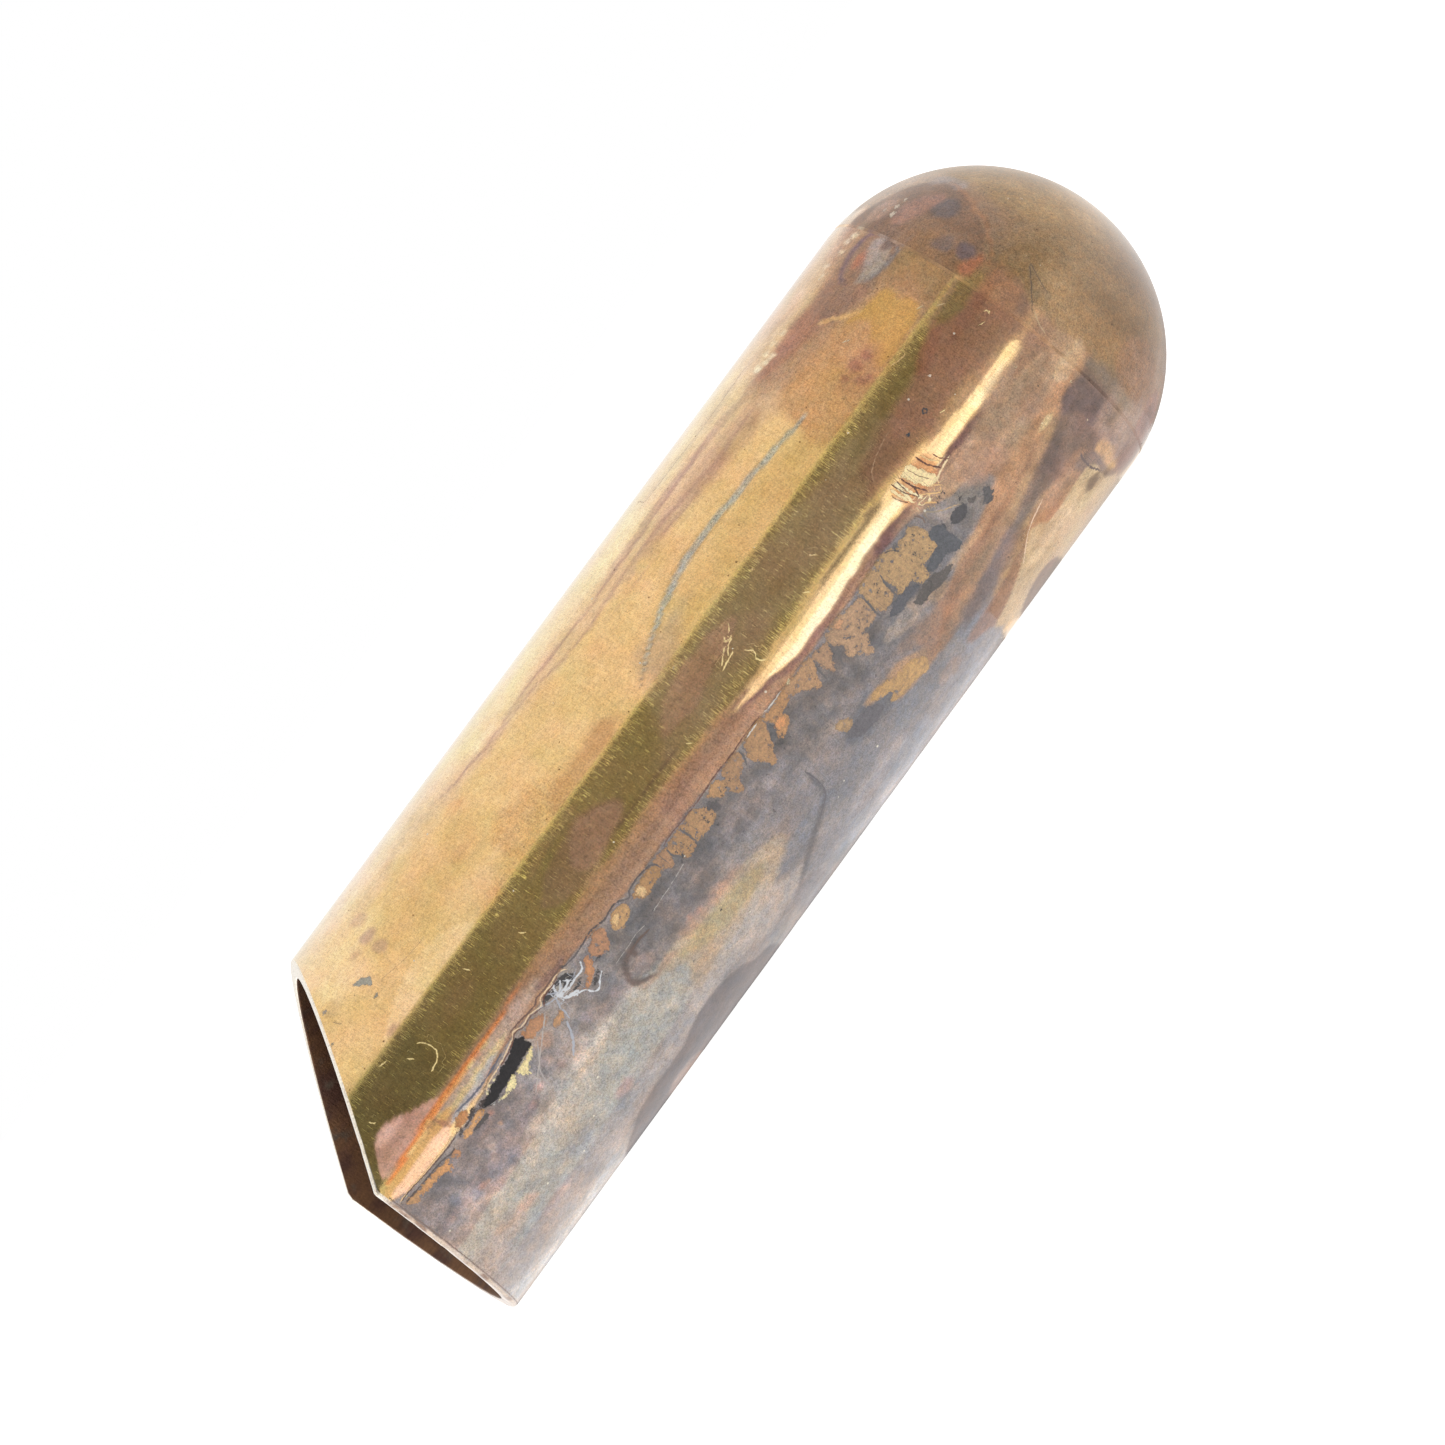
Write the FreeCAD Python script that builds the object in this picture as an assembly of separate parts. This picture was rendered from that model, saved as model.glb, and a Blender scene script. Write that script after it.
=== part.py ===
"""Brass guitar slide: a thin round tube worn on a finger, closed at one end by
a hemispherical cap and cut back on one side of its open end so that the
knuckle can bend.

Three pieces, put together the way such a slide is made:
  slide_tube   drawn brass tube, open end half square and half slanted, far end
               bored out to half its wall for the cap
  dome_cap     thicker hemispherical cap whose skirt laps inside the tube and
               ends the bore with a small step
  solder_seam  silver solder that fills the lap and shows as a thin ring on the
               outside and a thinner one in the bore

Frame (mm): the slide lies on its long side, as it comes to rest on a table.
+X runs along the tube's axis from the open end to the dome, +Z is up, towards
the side that is cut short.  The origin is the bottom centre of its box.
"""
import FreeCAD, Part
import math
import os

# ----------------------------------------------------------------------------
# driving dimensions, mm
# ----------------------------------------------------------------------------
TUBE_OD = 22.0          # outside diameter of the tube and of the dome
WALL = 1.0              # wall of the tube
CAP_WALL = 1.6          # wall of the dome, so its skirt stands 0.6 proud in the bore
STRAIGHT = 60.0         # open end to the plane through the dome's centre

RELIEF_ANGLE = 36.8     # slanted cut, degrees away from the square cut
RELIEF_Z = -0.2         # height of the line where the two cuts meet, from the axis
EDGE_OUT = 0.25         # rounding of the outer edge of the open end
EDGE_IN = 0.12          # rounding of its inner edge

SEAM_AT = 60.9          # where the tube ends under the dome's curve
SEAM_WIDTH = 0.2        # solder ring that shows between tube and cap
LAP_WALL = 0.5          # wall left on the tube round the lap
LAP_LENGTH = 5.0        # depth of the lap, back from the tube's end
LAP_GAP = 0.08          # radial solder gap round the skirt
BUTT_GAP = 0.1          # solder gap at the skirt's end, which shows in the bore
SEAM_TURN = 181.875     # angle from +Z to the line where each turned surface closes

# ----------------------------------------------------------------------------
# derived sizes
# ----------------------------------------------------------------------------
R_OUT = TUBE_OD / 2.0
R_IN = R_OUT - WALL
LENGTH = STRAIGHT + R_OUT
X_OPEN = -LENGTH / 2.0
R_CAP = R_OUT - CAP_WALL
R_LAP = R_OUT - LAP_WALL
SKIRT_OR = R_LAP - LAP_GAP
CAP_AT = SEAM_AT + SEAM_WIDTH
LAP_AT = SEAM_AT - LAP_LENGTH
SKIRT_END = LAP_AT + BUTT_GAP

V = FreeCAD.Vector


def at(s, r):
    """Point of a turning profile: s along the axis from the open end, r out
    from the axis."""
    return V(X_OPEN + s, 0.0, R_OUT + r)


def line(a, b):
    return Part.LineSegment(at(*a), at(*b)).toShape()


def arc(a, m, b):
    return Part.Arc(at(*a), at(*m), at(*b)).toShape()


def on_ball(radius, s):
    """Point at s on the ball of this radius about the dome's centre."""
    d = s - STRAIGHT
    return (s, math.sqrt(radius * radius - d * d))


def turned(edges):
    """Solid of revolution of a closed profile about the slide's axis."""
    face = Part.Face(Part.Wire(edges))
    solid = face.revolve(V(0, 0, R_OUT), V(1, 0, 0), 360.0)
    if solid.ShapeType != "Solid":
        solid = Part.makeSolid(solid)
    if solid.Volume < 0:
        solid.reverse()
    # the closing line lies just beside the line that the slide rests on
    solid.rotate(V(0, 0, R_OUT), V(1, 0, 0), SEAM_TURN)
    return solid


# ----------------------------------------------------------------------------
# slide_tube: tube with a lap bored in its far end, which is dressed flush to
# the dome's curve
# ----------------------------------------------------------------------------
tube_end = on_ball(R_OUT, SEAM_AT)
tube = turned([
    line((0.0, R_IN), (0.0, R_OUT)),
    line((0.0, R_OUT), (STRAIGHT, R_OUT)),
    arc((STRAIGHT, R_OUT), on_ball(R_OUT, (STRAIGHT + SEAM_AT) / 2.0), tube_end),
    line(tube_end, (SEAM_AT, R_LAP)),
    line((SEAM_AT, R_LAP), (LAP_AT, R_LAP)),
    line((LAP_AT, R_LAP), (LAP_AT, R_IN)),
    line((LAP_AT, R_IN), (0.0, R_IN)),
])

# the relief cut takes the upper half of the open end back at a slant
reach = R_OUT + 4.0
lean = math.tan(math.radians(RELIEF_ANGLE))
corners = [
    at(0.0, RELIEF_Z),
    at(reach * lean, RELIEF_Z + reach),
    at(-5.0, RELIEF_Z + reach),
    at(-5.0, RELIEF_Z),
]
cutter = Part.Face(Part.makePolygon([c - V(0, 20, 0) for c in corners + corners[:1]]))
cutter = cutter.extrude(V(0, 40, 0))
tube = tube.cut(cutter)
if tube.ShapeType != "Solid":
    tube = tube.Solids[0]


def from_axis(p):
    return math.hypot(p.y, p.z - R_OUT)


def rim_edges(shape, radius):
    """Edges of the open end's flat faces that lie at this radius."""
    found = []
    for e in shape.Edges:
        a, b = e.ParameterRange
        pts = [e.valueAt(a + (b - a) * k / 8.0) for k in range(9)]
        if all(abs(from_axis(p) - radius) < 1e-4 for p in pts) and \
                all(p.x < X_OPEN + 10.0 for p in pts) and \
                max(from_axis(p) for p in pts) > 0 and \
                max(math.hypot((p - pts[0]).y, (p - pts[0]).z) for p in pts) > 1.0:
            found.append(e)
    return found


for radius, size in ((R_OUT, EDGE_OUT), (R_IN, EDGE_IN)):
    edges = rim_edges(tube, radius)
    rounded = tube.makeFillet(size, edges)
    if not rounded.isValid() or rounded.Volume <= 0:
        raise RuntimeError("the open end's edge didn't round")
    tube = rounded
if tube.ShapeType != "Solid":
    tube = tube.Solids[0]

# ----------------------------------------------------------------------------
# dome_cap: hemisphere with a skirt stepped down on the outside
# ----------------------------------------------------------------------------
shoulder = on_ball(R_OUT, CAP_AT)
apex_out = (STRAIGHT + R_OUT, 0.0)
apex_in = (STRAIGHT + R_CAP, 0.0)
half = math.radians(45.0)
cap = turned([
    line((SKIRT_END, R_CAP), (SKIRT_END, SKIRT_OR)),
    line((SKIRT_END, SKIRT_OR), (CAP_AT, SKIRT_OR)),
    line((CAP_AT, SKIRT_OR), shoulder),
    arc(shoulder, (STRAIGHT + R_OUT * math.cos(half), R_OUT * math.sin(half)), apex_out),
    line(apex_out, apex_in),
    arc(apex_in, (STRAIGHT + R_CAP * math.cos(half), R_CAP * math.sin(half)), (STRAIGHT, R_CAP)),
    line((STRAIGHT, R_CAP), (SKIRT_END, R_CAP)),
])

# ----------------------------------------------------------------------------
# solder_seam: ring in the bore, film round the skirt, ring on the outside
# ----------------------------------------------------------------------------
seam = turned([
    line((LAP_AT, R_IN), (LAP_AT, R_LAP)),
    line((LAP_AT, R_LAP), (SEAM_AT, R_LAP)),
    line((SEAM_AT, R_LAP), tube_end),
    arc(tube_end, on_ball(R_OUT, SEAM_AT + SEAM_WIDTH / 2.0), shoulder),
    line(shoulder, (CAP_AT, SKIRT_OR)),
    line((CAP_AT, SKIRT_OR), (SKIRT_END, SKIRT_OR)),
    line((SKIRT_END, SKIRT_OR), (SKIRT_END, R_IN)),
    line((SKIRT_END, R_IN), (LAP_AT, R_IN)),
])

# ----------------------------------------------------------------------------
# one STEP file per piece
# ----------------------------------------------------------------------------
pieces = {
    "slide_tube": tube,
    "dome_cap": cap,
    "solder_seam": seam,
}

os.makedirs("parts", exist_ok=True)
for name, shape in pieces.items():
    if not shape.isValid() or len(shape.Solids) != 1:
        raise RuntimeError(name + " is not one valid solid")
    shape.exportStep("parts/" + name + ".step")
    box = shape.optimalBoundingBox(False, False)
    print("%-12s volume %8.2f mm3  x %7.2f..%6.2f  y %6.2f..%5.2f  z %5.2f..%5.2f  faces %d" % (
        name, shape.Volume, box.XMin, box.XMax, box.YMin, box.YMax,
        box.ZMin, box.ZMax, len(shape.Faces)))

names = list(pieces)
for i in range(len(names)):
    for k in range(i + 1, len(names)):
        shared = pieces[names[i]].common(pieces[names[k]]).Volume
        print("overlap %s / %s: %.5f mm3" % (names[i], names[k], shared))

whole = Part.makeCompound([p for p in pieces.values()])
mass = [0.0, V(0, 0, 0)]
for p in pieces.values():
    mass[0] += p.Volume
    mass[1] = mass[1] + p.CenterOfMass * p.Volume
com = mass[1] * (1.0 / mass[0])
print("centre of mass %.3f %.3f %.3f, volume %.1f mm3" % (com.x, com.y, com.z, mass[0]))
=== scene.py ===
import math

import bpy
import numpy as np
from mathutils import Matrix, Vector


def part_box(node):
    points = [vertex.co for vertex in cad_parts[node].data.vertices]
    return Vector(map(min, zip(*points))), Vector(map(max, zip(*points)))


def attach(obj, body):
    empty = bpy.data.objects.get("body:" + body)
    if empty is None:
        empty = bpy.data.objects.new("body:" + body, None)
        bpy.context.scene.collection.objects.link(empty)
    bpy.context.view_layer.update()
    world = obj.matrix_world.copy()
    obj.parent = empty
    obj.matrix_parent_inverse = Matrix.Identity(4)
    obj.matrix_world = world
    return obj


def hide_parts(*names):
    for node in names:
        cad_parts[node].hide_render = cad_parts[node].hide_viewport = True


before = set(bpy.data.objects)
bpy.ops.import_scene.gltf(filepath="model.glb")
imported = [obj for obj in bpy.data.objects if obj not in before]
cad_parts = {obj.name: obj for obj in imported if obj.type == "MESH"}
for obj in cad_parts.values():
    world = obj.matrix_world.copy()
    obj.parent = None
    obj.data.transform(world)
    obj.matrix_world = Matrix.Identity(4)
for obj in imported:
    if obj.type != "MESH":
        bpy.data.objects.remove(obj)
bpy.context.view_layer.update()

# ---------------------------------------------------------------------------
# sizes, millimetres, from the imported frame
#   u      distance along the axis from the open end
#   theta  angle round the axis, degrees: 0 faces -Y, +90 is the underside the
#          slide lies on, -90 is the top, where the open end is cut back
# ---------------------------------------------------------------------------
t_lo, t_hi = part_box("slide_tube")
c_lo, c_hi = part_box("dome_cap")
s_lo, s_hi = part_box("solder_seam")
X_OPEN = t_lo.x * 1000
R = (t_hi.z - t_lo.z) * 500
LENGTH = (c_hi.x - t_lo.x) * 1000
STRAIGHT = LENGTH - R
SEAM_A = (t_hi.x - t_lo.x) * 1000
SEAM_B = (s_hi.x - t_lo.x) * 1000
LAP = (s_lo.x - t_lo.x) * 1000
WALL, CAP_WALL, LAP_WALL = 1.0, 1.6, 0.5
R_IN, R_CAP = R - WALL, R - CAP_WALL
SKIN = 0.034                # clean metal lies this far under the CAD surface
R0 = R - SKIN
LEAN, CUT_Z = math.tan(math.radians(36.8)), -0.2
RAD = math.pi / 180


def srgb(*c):
    c = np.array(c, float) / 255
    return np.where(c <= 0.04045, c / 12.92, ((c + 0.055) / 1.055) ** 2.4)


# ---------------------------------------------------------------------------
# lattice noise, the same every run
# ---------------------------------------------------------------------------
def _hash(i, j, k, seed):
    n = (i * 374761393 + j * 668265263 + k * 1442695041 + seed * 974634777) & 0xFFFFFFFF
    n = ((n ^ (n >> 13)) * 1274126177) & 0xFFFFFFFF
    n = n ^ (n >> 16)
    return (n & 0xFFFF) / 65535.0


def noise(p, scale, seed=0, octaves=1, gain=0.5):
    """Smooth noise, about -1 to 1, with features of this size in mm."""
    total, weight, amp = 0.0, 0.0, 1.0
    for o in range(octaves):
        q = p / (scale / 2.0 ** o) + 57.3 * (o + 1)
        b = np.floor(q).astype(np.int64)
        f = q - b
        f = f * f * (3 - 2 * f)
        v = 0.0
        for dx in (0, 1):
            wx = f[:, 0] if dx else 1 - f[:, 0]
            for dy in (0, 1):
                wy = f[:, 1] if dy else 1 - f[:, 1]
                for dz in (0, 1):
                    wz = f[:, 2] if dz else 1 - f[:, 2]
                    v = v + wx * wy * wz * _hash(b[:, 0] + dx, b[:, 1] + dy, b[:, 2] + dz, seed + o * 17)
        total = total + amp * (v * 2 - 1)
        weight += amp
        amp *= gain
    return total / weight * 1.6


def smooth(x, lo, hi):
    t = np.clip((x - lo) / (hi - lo), 0, 1)
    return t * t * (3 - 2 * t)


# ---------------------------------------------------------------------------
# shapes drawn on the unrolled surface
# ---------------------------------------------------------------------------
ARC = R * RAD               # mm round the tube per degree


def curve(pts, closed, n=5):
    """Catmull-Rom curve through (u, theta) points, in unrolled mm."""
    p = np.array([(a, b * ARC) for a, b in pts], float)
    if closed:
        q = np.vstack([p[-1], p, p[0], p[1]])
        m = len(p)
    else:
        q = np.vstack([2 * p[0] - p[1], p, 2 * p[-1] - p[-2]])
        m = len(p) - 1
    out = []
    for i in range(m):
        a, b, c, d = q[i], q[i + 1], q[i + 2], q[i + 3]
        for k in range(n):
            t = k / n
            out.append(0.5 * (2 * b + (c - a) * t + (2 * a - 5 * b + 4 * c - d) * t * t + (3 * b - a - 3 * c + d) * t ** 3))
    if not closed:
        out.append(q[-2])
    return np.array(out)


def poly_distance(x, y, v):
    """Signed distance to a closed polygon, positive inside."""
    d = np.full(x.shape, 1e9)
    inside = np.zeros(x.shape, bool)
    n = len(v)
    for i in range(n):
        ax, ay = v[i]
        bx, by = v[(i + 1) % n]
        ex, ey = bx - ax, by - ay
        wx, wy = x - ax, y - ay
        t = np.clip((wx * ex + wy * ey) / (ex * ex + ey * ey + 1e-12), 0, 1)
        d = np.minimum(d, (wx - t * ex) ** 2 + (wy - t * ey) ** 2)
        cross = ((ay > y) != (by > y)) & (x < (bx - ax) * (y - ay) / (by - ay + 1e-12) + ax)
        inside ^= cross
    return np.where(inside, 1, -1) * np.sqrt(d)


def line_distance(x, y, v):
    """Side-signed distance to an open line, place along it 0-1, and how far past its ends."""
    d = np.full(x.shape, 1e9)
    side = np.zeros(x.shape)
    along = np.zeros(x.shape)
    past = np.zeros(x.shape)
    seg = np.hypot(*(v[1:] - v[:-1]).T)
    start = np.concatenate([[0], np.cumsum(seg)])
    for i in range(len(v) - 1):
        ax, ay = v[i]
        ex, ey = v[i + 1] - v[i]
        wx, wy = x - ax, y - ay
        raw = (wx * ex + wy * ey) / (ex * ex + ey * ey + 1e-12)
        t = np.clip(raw, 0, 1)
        dd = np.hypot(wx - t * ex, wy - t * ey)
        near = dd < d
        d = np.where(near, dd, d)
        side = np.where(near, np.sign(ex * wy - ey * wx), side)
        along = np.where(near, (start[i] + t * seg[i]) / start[-1], along)
        over = np.zeros(x.shape)
        if i == 0:
            over = np.maximum(over, -raw * seg[i])
        if i == len(v) - 2:
            over = np.maximum(over, (raw - 1) * seg[i])
        past = np.where(near, over, past)
    return d * side, along, past


class Skin:
    """The paint and relief of one surface, held at its points."""

    def __init__(self, u, theta, pos):
        n = len(u)
        self.u, self.th = u, theta
        self.x, self.y = u, theta * ARC
        self.p = pos
        self.col = np.tile(srgb(232, 196, 138), (n, 1))
        self.metal = np.ones(n)
        self.rough = np.full(n, 0.065)
        self.grain = np.full(n, 0.05)
        self.mottle = np.full(n, 0.25)
        self.hair = np.ones(n)
        self.brush = np.full(n, 0.5)
        self.coat = np.full(n, 0.35)
        self.h = np.zeros(n)
        self.crisp = {k: (np.full(n, -1.0), np.zeros((n, 3))) for k in ("flake", "dark", "pale")}
        self.lines = {k: (np.full(n, 1.0), np.zeros(n), np.zeros((n, 3))) for k in ("la", "lb", "lc")}
        self.w1 = noise(pos, 2.2, 3, 3)
        self.w2 = noise(pos, 0.8, 5, 2)
        self.w3 = noise(pos, 5.0, 7, 3)
        # drawn-out noise: along the tube, and round it
        self.wl = noise(pos * [0.16, 1, 1], 0.9, 11, 3)
        self.wc = noise(pos * [1, 0.2, 0.2], 0.5, 13, 2)

    def near(self, v, margin):
        lo, hi = v.min(0) - margin, v.max(0) + margin
        return np.nonzero((self.x > lo[0]) & (self.x < hi[0]) & (self.y > lo[1]) & (self.y < hi[1]))[0]

    def set(self, i, m, col=None, tone=None, **props):
        if col is not None:
            self.col[i] += (srgb(*col) - self.col[i]) * m[:, None]
        if tone is not None:
            self.col[i] *= 1 + (np.array(tone) - 1) * m[:, None]
        for name, value in props.items():
            a = getattr(self, name)
            if name == "h":
                a[i] += value * m
            else:
                a[i] += (value - a[i]) * m

    def blob(self, pts, col=None, op=1.0, soft=0.3, warp=0.3, fine=0.0, closed=True, break_up=0.0, shift=0.0, **props):
        """A patch with an uneven edge."""
        v = curve(pts, True, 4)
        i = self.near(v, soft + 2.2 * (warp + fine) + 0.3)
        if not len(i):
            return
        sd = poly_distance(self.x[i], self.y[i], v) + warp * self.w1[i] + fine * self.w2[i] + shift
        m = smooth(sd, -soft, soft) * op
        if break_up:
            m = m * smooth(self.w2[i] + self.w1[i] * 0.5 + (1 - break_up) * 1.6 - 0.6, -0.25, 0.25)
        self.set(i, m, col, **props)

    def stroke(self, pts, width, col=None, op=1.0, soft=0.15, warp=0.08, taper=True, **props):
        """A soft line; width is its half width in mm, one number or one per point."""
        v = curve(pts, False, 5)
        w = np.interp(np.linspace(0, 1, 101), np.linspace(0, 1, np.size(width)), np.atleast_1d(width).astype(float))
        i = self.near(v, w.max() + soft + 2 * warp + 0.3)
        if not len(i):
            return
        sd, along, past = line_distance(self.x[i], self.y[i], v)
        ww = np.interp(along, np.linspace(0, 1, 101), w)
        if taper:
            ww = ww * smooth(along, -0.02, 0.12) * smooth(-along, -1.02, -0.88)
        m = smooth(ww - np.abs(sd + warp * self.w2[i]), -soft, soft) * op * (ww > 0.004)
        self.set(i, m, col, **props)

    def patch(self, layer, pts, col, warp=0.0, smoothed=True, shift=0.0, **props):
        """A patch whose edge the material draws sharply."""
        v = curve(pts, True, 3) if smoothed else np.array([(a, b * ARC) for a, b in pts], float)
        i = self.near(v, 1.1)
        if not len(i):
            return
        sd = poly_distance(self.x[i], self.y[i], v) + warp * self.w2[i] + shift
        d, c = self.crisp[layer]
        take = sd > d[i]
        j = i[take]
        d[j] = np.minimum(sd[take], 1.0)
        c[j] = srgb(*col)
        if props:
            self.set(i, smooth(sd, -0.12, 0.12), **props)

    def line(self, layer, pts, width, col, curved=True, **props):
        """A fine line that the material draws sharply; width is half, in mm."""
        v = curve(pts, False, 4) if curved else np.array([(a, b * ARC) for a, b in pts], float)
        i = self.near(v, 0.6)
        if not len(i):
            return
        sd, along, past = line_distance(self.x[i], self.y[i], v)
        w = np.interp(along, np.linspace(0, 1, np.size(width)), np.atleast_1d(width).astype(float)) if np.size(width) > 1 else np.full(len(i), float(width))
        d, hw, c = self.lines[layer]
        take = (np.abs(sd) < np.abs(d[i])) & (np.abs(sd) < 0.45)
        j = i[take]
        d[j] = sd[take]
        hw[j] = np.where(past[take] > 0.03, 0, w[take])
        c[j] = srgb(*col)
        if props:
            self.set(i, smooth(w - np.abs(sd), -0.1, 0.1), **props)

    def write(self, mesh, index=None):
        n = len(mesh.vertices)
        sel = slice(None) if index is None else index

        def full(a, fill=0.0):
            out = np.full((n,) + np.shape(a)[1:], fill, np.float32)
            out[sel] = a
            return out

        def colour(name, rgb, alpha):
            at = mesh.attributes.new(name, "FLOAT_COLOR", "POINT")
            data = np.empty((n, 4), np.float32)
            data[:, :3] = full(rgb)
            data[:, 3] = full(alpha)
            at.data.foreach_set("color", data.ravel())

        def vector(name, x, y, z):
            at = mesh.attributes.new(name, "FLOAT_VECTOR", "POINT")
            data = np.stack([full(x), full(y), full(z)], 1)
            at.data.foreach_set("vector", data.astype(np.float32).ravel())

        colour("paint", np.clip(self.col, 0.0, 1.0), self.metal)
        vector("surf", self.rough, self.grain, self.mottle)
        vector("wear_and_glint", self.hair, self.brush, self.coat)
        vector("flat", self.x, self.y, np.zeros_like(self.x))
        for k, (d, c) in self.crisp.items():
            colour("c_" + k, c, np.clip(d, -1, 1) * 0.5 + 0.5)
        for k, (d, hw, c) in self.lines.items():
            colour("k_" + k, c, hw)
            vector("d_" + k, d, hw, np.zeros_like(hw))


# ---------------------------------------------------------------------------
# meshes
# ---------------------------------------------------------------------------
def steps(*parts):
    """Values from runs (from, to, step), each run's end shared with the next."""
    out = []
    for a, b, s in parts:
        n = max(1, int(round((b - a) / s)))
        out += [a + (b - a) * k / n for k in range(n)]
    return np.array(out)


def rim_u(r, theta):
    """Where the open end lies at this radius: square below, slanted above."""
    z = -r * np.sin(theta * RAD)
    return np.where(z > CUT_Z, (z - CUT_Z) * LEAN, 0.0)


def rounded(corner, d1, d2, rad, n):
    """Points of a fillet of this radius at corner, from side d1 to side d2."""
    cosa = np.clip((d1 * d2).sum(-1), -0.9999, 0.9999)
    half = np.arccos(cosa) / 2
    cut = (rad / np.tan(half))[..., None]
    mid = d1 + d2
    mid /= np.linalg.norm(mid, axis=-1, keepdims=True)
    centre = corner + mid * (rad / np.sin(half))[..., None]
    a, b = corner + d1 * cut - centre, corner + d2 * cut - centre
    span = np.pi - 2 * half
    out = []
    for k in range(n + 1):
        t = k / n
        w1, w2 = np.sin((1 - t) * span) / np.sin(span), np.sin(t * span) / np.sin(span)
        out.append(centre + a * w1[..., None] + b * w2[..., None])
    return out


def place(u, r, theta):
    """Unrolled rows to points in the row frame, mm."""
    t = theta * RAD
    return np.stack([np.broadcast_to(X_OPEN + u, r.shape), -r * np.cos(t), R - r * np.sin(t)], -1)


def make(name, points, quads, tris, slots, slot_of=None):
    mesh = bpy.data.meshes.new(name)
    faces = [tuple(f) for f in quads] + [tuple(f) for f in tris]
    mesh.from_pydata((points * 0.001).tolist(), [], faces)
    mesh.polygons.foreach_set("use_smooth", [True] * len(faces))
    for m in slots:
        mesh.materials.append(m)
    if slot_of is not None:
        mesh.polygons.foreach_set("material_index", slot_of)
    mesh.update()
    mesh.set_sharp_from_angle(angle=math.radians(42))
    ob = bpy.data.objects.new(name, mesh)
    bpy.context.scene.collection.objects.link(ob)
    return ob


def ring_quads(rows, cols, closed, flip=False):
    i = np.arange(rows if closed else rows - 1)[:, None]
    j = np.arange(cols)[None, :]
    a = i * cols + j
    b = i * cols + (j + 1) % cols
    c = ((i + 1) % rows) * cols + (j + 1) % cols
    d = ((i + 1) % rows) * cols + j
    q = np.stack([a, b, c, d] if not flip else [a, d, c, b], -1).reshape(-1, 4)
    return q


# --- tube ------------------------------------------------------------------
TH = steps((-180, -96, 2.4), (-96, 3, 1.05), (3, 33, 0.5), (33, 96, 1.0), (96, 180, 2.4))
M = len(TH)
face_dir = np.stack([rim_u(R_IN, TH) - rim_u(R0, TH), np.full(M, R_IN - R0)], -1)
face_dir /= np.linalg.norm(face_dir, axis=-1, keepdims=True)
along = np.tile([1.0, 0.0], (M, 1))
outer_edge = rounded(np.stack([rim_u(R0, TH), np.full(M, R0)], -1), along, face_dir, 0.25, 6)
inner_edge = rounded(np.stack([rim_u(R_IN, TH), np.full(M, R_IN)], -1), -face_dir, along, 0.12, 4)
U_FROM = outer_edge[0][:, 0]
U_BORE = inner_edge[-1][:, 0]

g = steps((0, 1, 0.1), (1, 20, 0.17), (20, 60, 0.25), (60, SEAM_A, 0.15))
g = np.append(g, SEAM_A) / SEAM_A
outer_u = U_FROM[None, :] + (SEAM_A - U_FROM)[None, :] * g[:, None]
outer_th = np.broadcast_to(TH, outer_u.shape)


def ball(u, r0):
    return np.where(u > STRAIGHT, np.sqrt(np.maximum(r0 * r0 - (u - STRAIGHT) ** 2, 0)), r0)


outer_r = ball(outer_u, R0)
tube_skin = Skin(outer_u.ravel(), outer_th.ravel(), place(outer_u, outer_r, outer_th).reshape(-1, 3))

# --- dome ------------------------------------------------------------------
DTH = steps((-180, 180, 1.2))
phi0 = math.acos((SEAM_B - STRAIGHT) / R0)
phi = np.linspace(phi0, 0, 112)[:-1]
dome_u = STRAIGHT + R0 * np.cos(phi)[:, None] + 0 * DTH[None, :]
dome_r = R0 * np.sin(phi)[:, None] + 0 * DTH[None, :]
dome_th = np.broadcast_to(DTH, dome_u.shape)
pole = np.array([[X_OPEN + STRAIGHT + R0, 0, R]])
dome_skin = Skin(
    np.append(dome_u.ravel(), STRAIGHT + R0), np.append(dome_th.ravel(), 0.0),
    np.vstack([place(dome_u, dome_r, dome_th).reshape(-1, 3), pole]))


# ---------------------------------------------------------------------------
# the tube's skin, painted in layers
# ---------------------------------------------------------------------------
S = tube_skin
S.col[:] = srgb(230, 190, 131)
# the top of the tube, towards its edge, painted paler and creamier: painted sheen of the grazing reflection
S.set(slice(None), smooth(-S.th, 50, 76) * 0.7, (246, 220, 182))

# warm and pale areas of the handled side
S.blob([(7.5, -66), (12, -66), (12.5, -50), (9.5, -43), (7, -48)], (242, 208, 154), 0.9, 0.9, 0.4)
S.blob([(10.5, -47), (15, -50), (20, -47), (19.5, -36), (14, -34), (11, -40)], (221, 179, 119), 0.8, 0.9, 0.5)
S.blob([(14.6, -33), (19, -30), (19.5, -24), (15.6, -22), (14, -27)], (224, 186, 130), 0.8, 0.4, 0.3)
S.blob([(6.8, -22), (8.5, -27.5), (10.5, -30.5), (12.4, -31.5), (14.4, -28.5), (15.3, -24.5), (15, -21), (10, -20)], (238, 203, 150), 0.75, 0.10, 0.12, 0.05)
S.blob([(24, -62), (31, -64), (40, -66), (41, -74), (50, -75), (50, -84), (30, -90), (22, -80)], (248, 220, 170), 0.8, 0.8, 0.4)
S.blob([(19.4, -29), (19.8, -34.5), (21, -37), (22.2, -35.2), (23.6, -36), (24.2, -31), (25.4, -27), (24, -22), (17, -20), (16.2, -23), (18.2, -25)], (208, 160, 104), 0.6, 0.4, 0.35, 0.15, mottle=0.5)
S.blob([(23.5, -26.5), (26.5, -29.5), (29, -28.5), (30, -24), (28, -20), (23, -20)], (199, 150, 101), 0.8, 0.35, 0.3)
S.blob([(28.6, -24), (30.3, -28.5), (32, -27), (32.2, -22), (29, -21)], (229, 186, 130), 0.8, 0.3, 0.2)
S.blob([(36.5, -32), (41, -34.5), (47, -34), (53, -31), (55, -21), (36, -20.5)], (216, 175, 113), 0.85, 0.7, 0.5)
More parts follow.
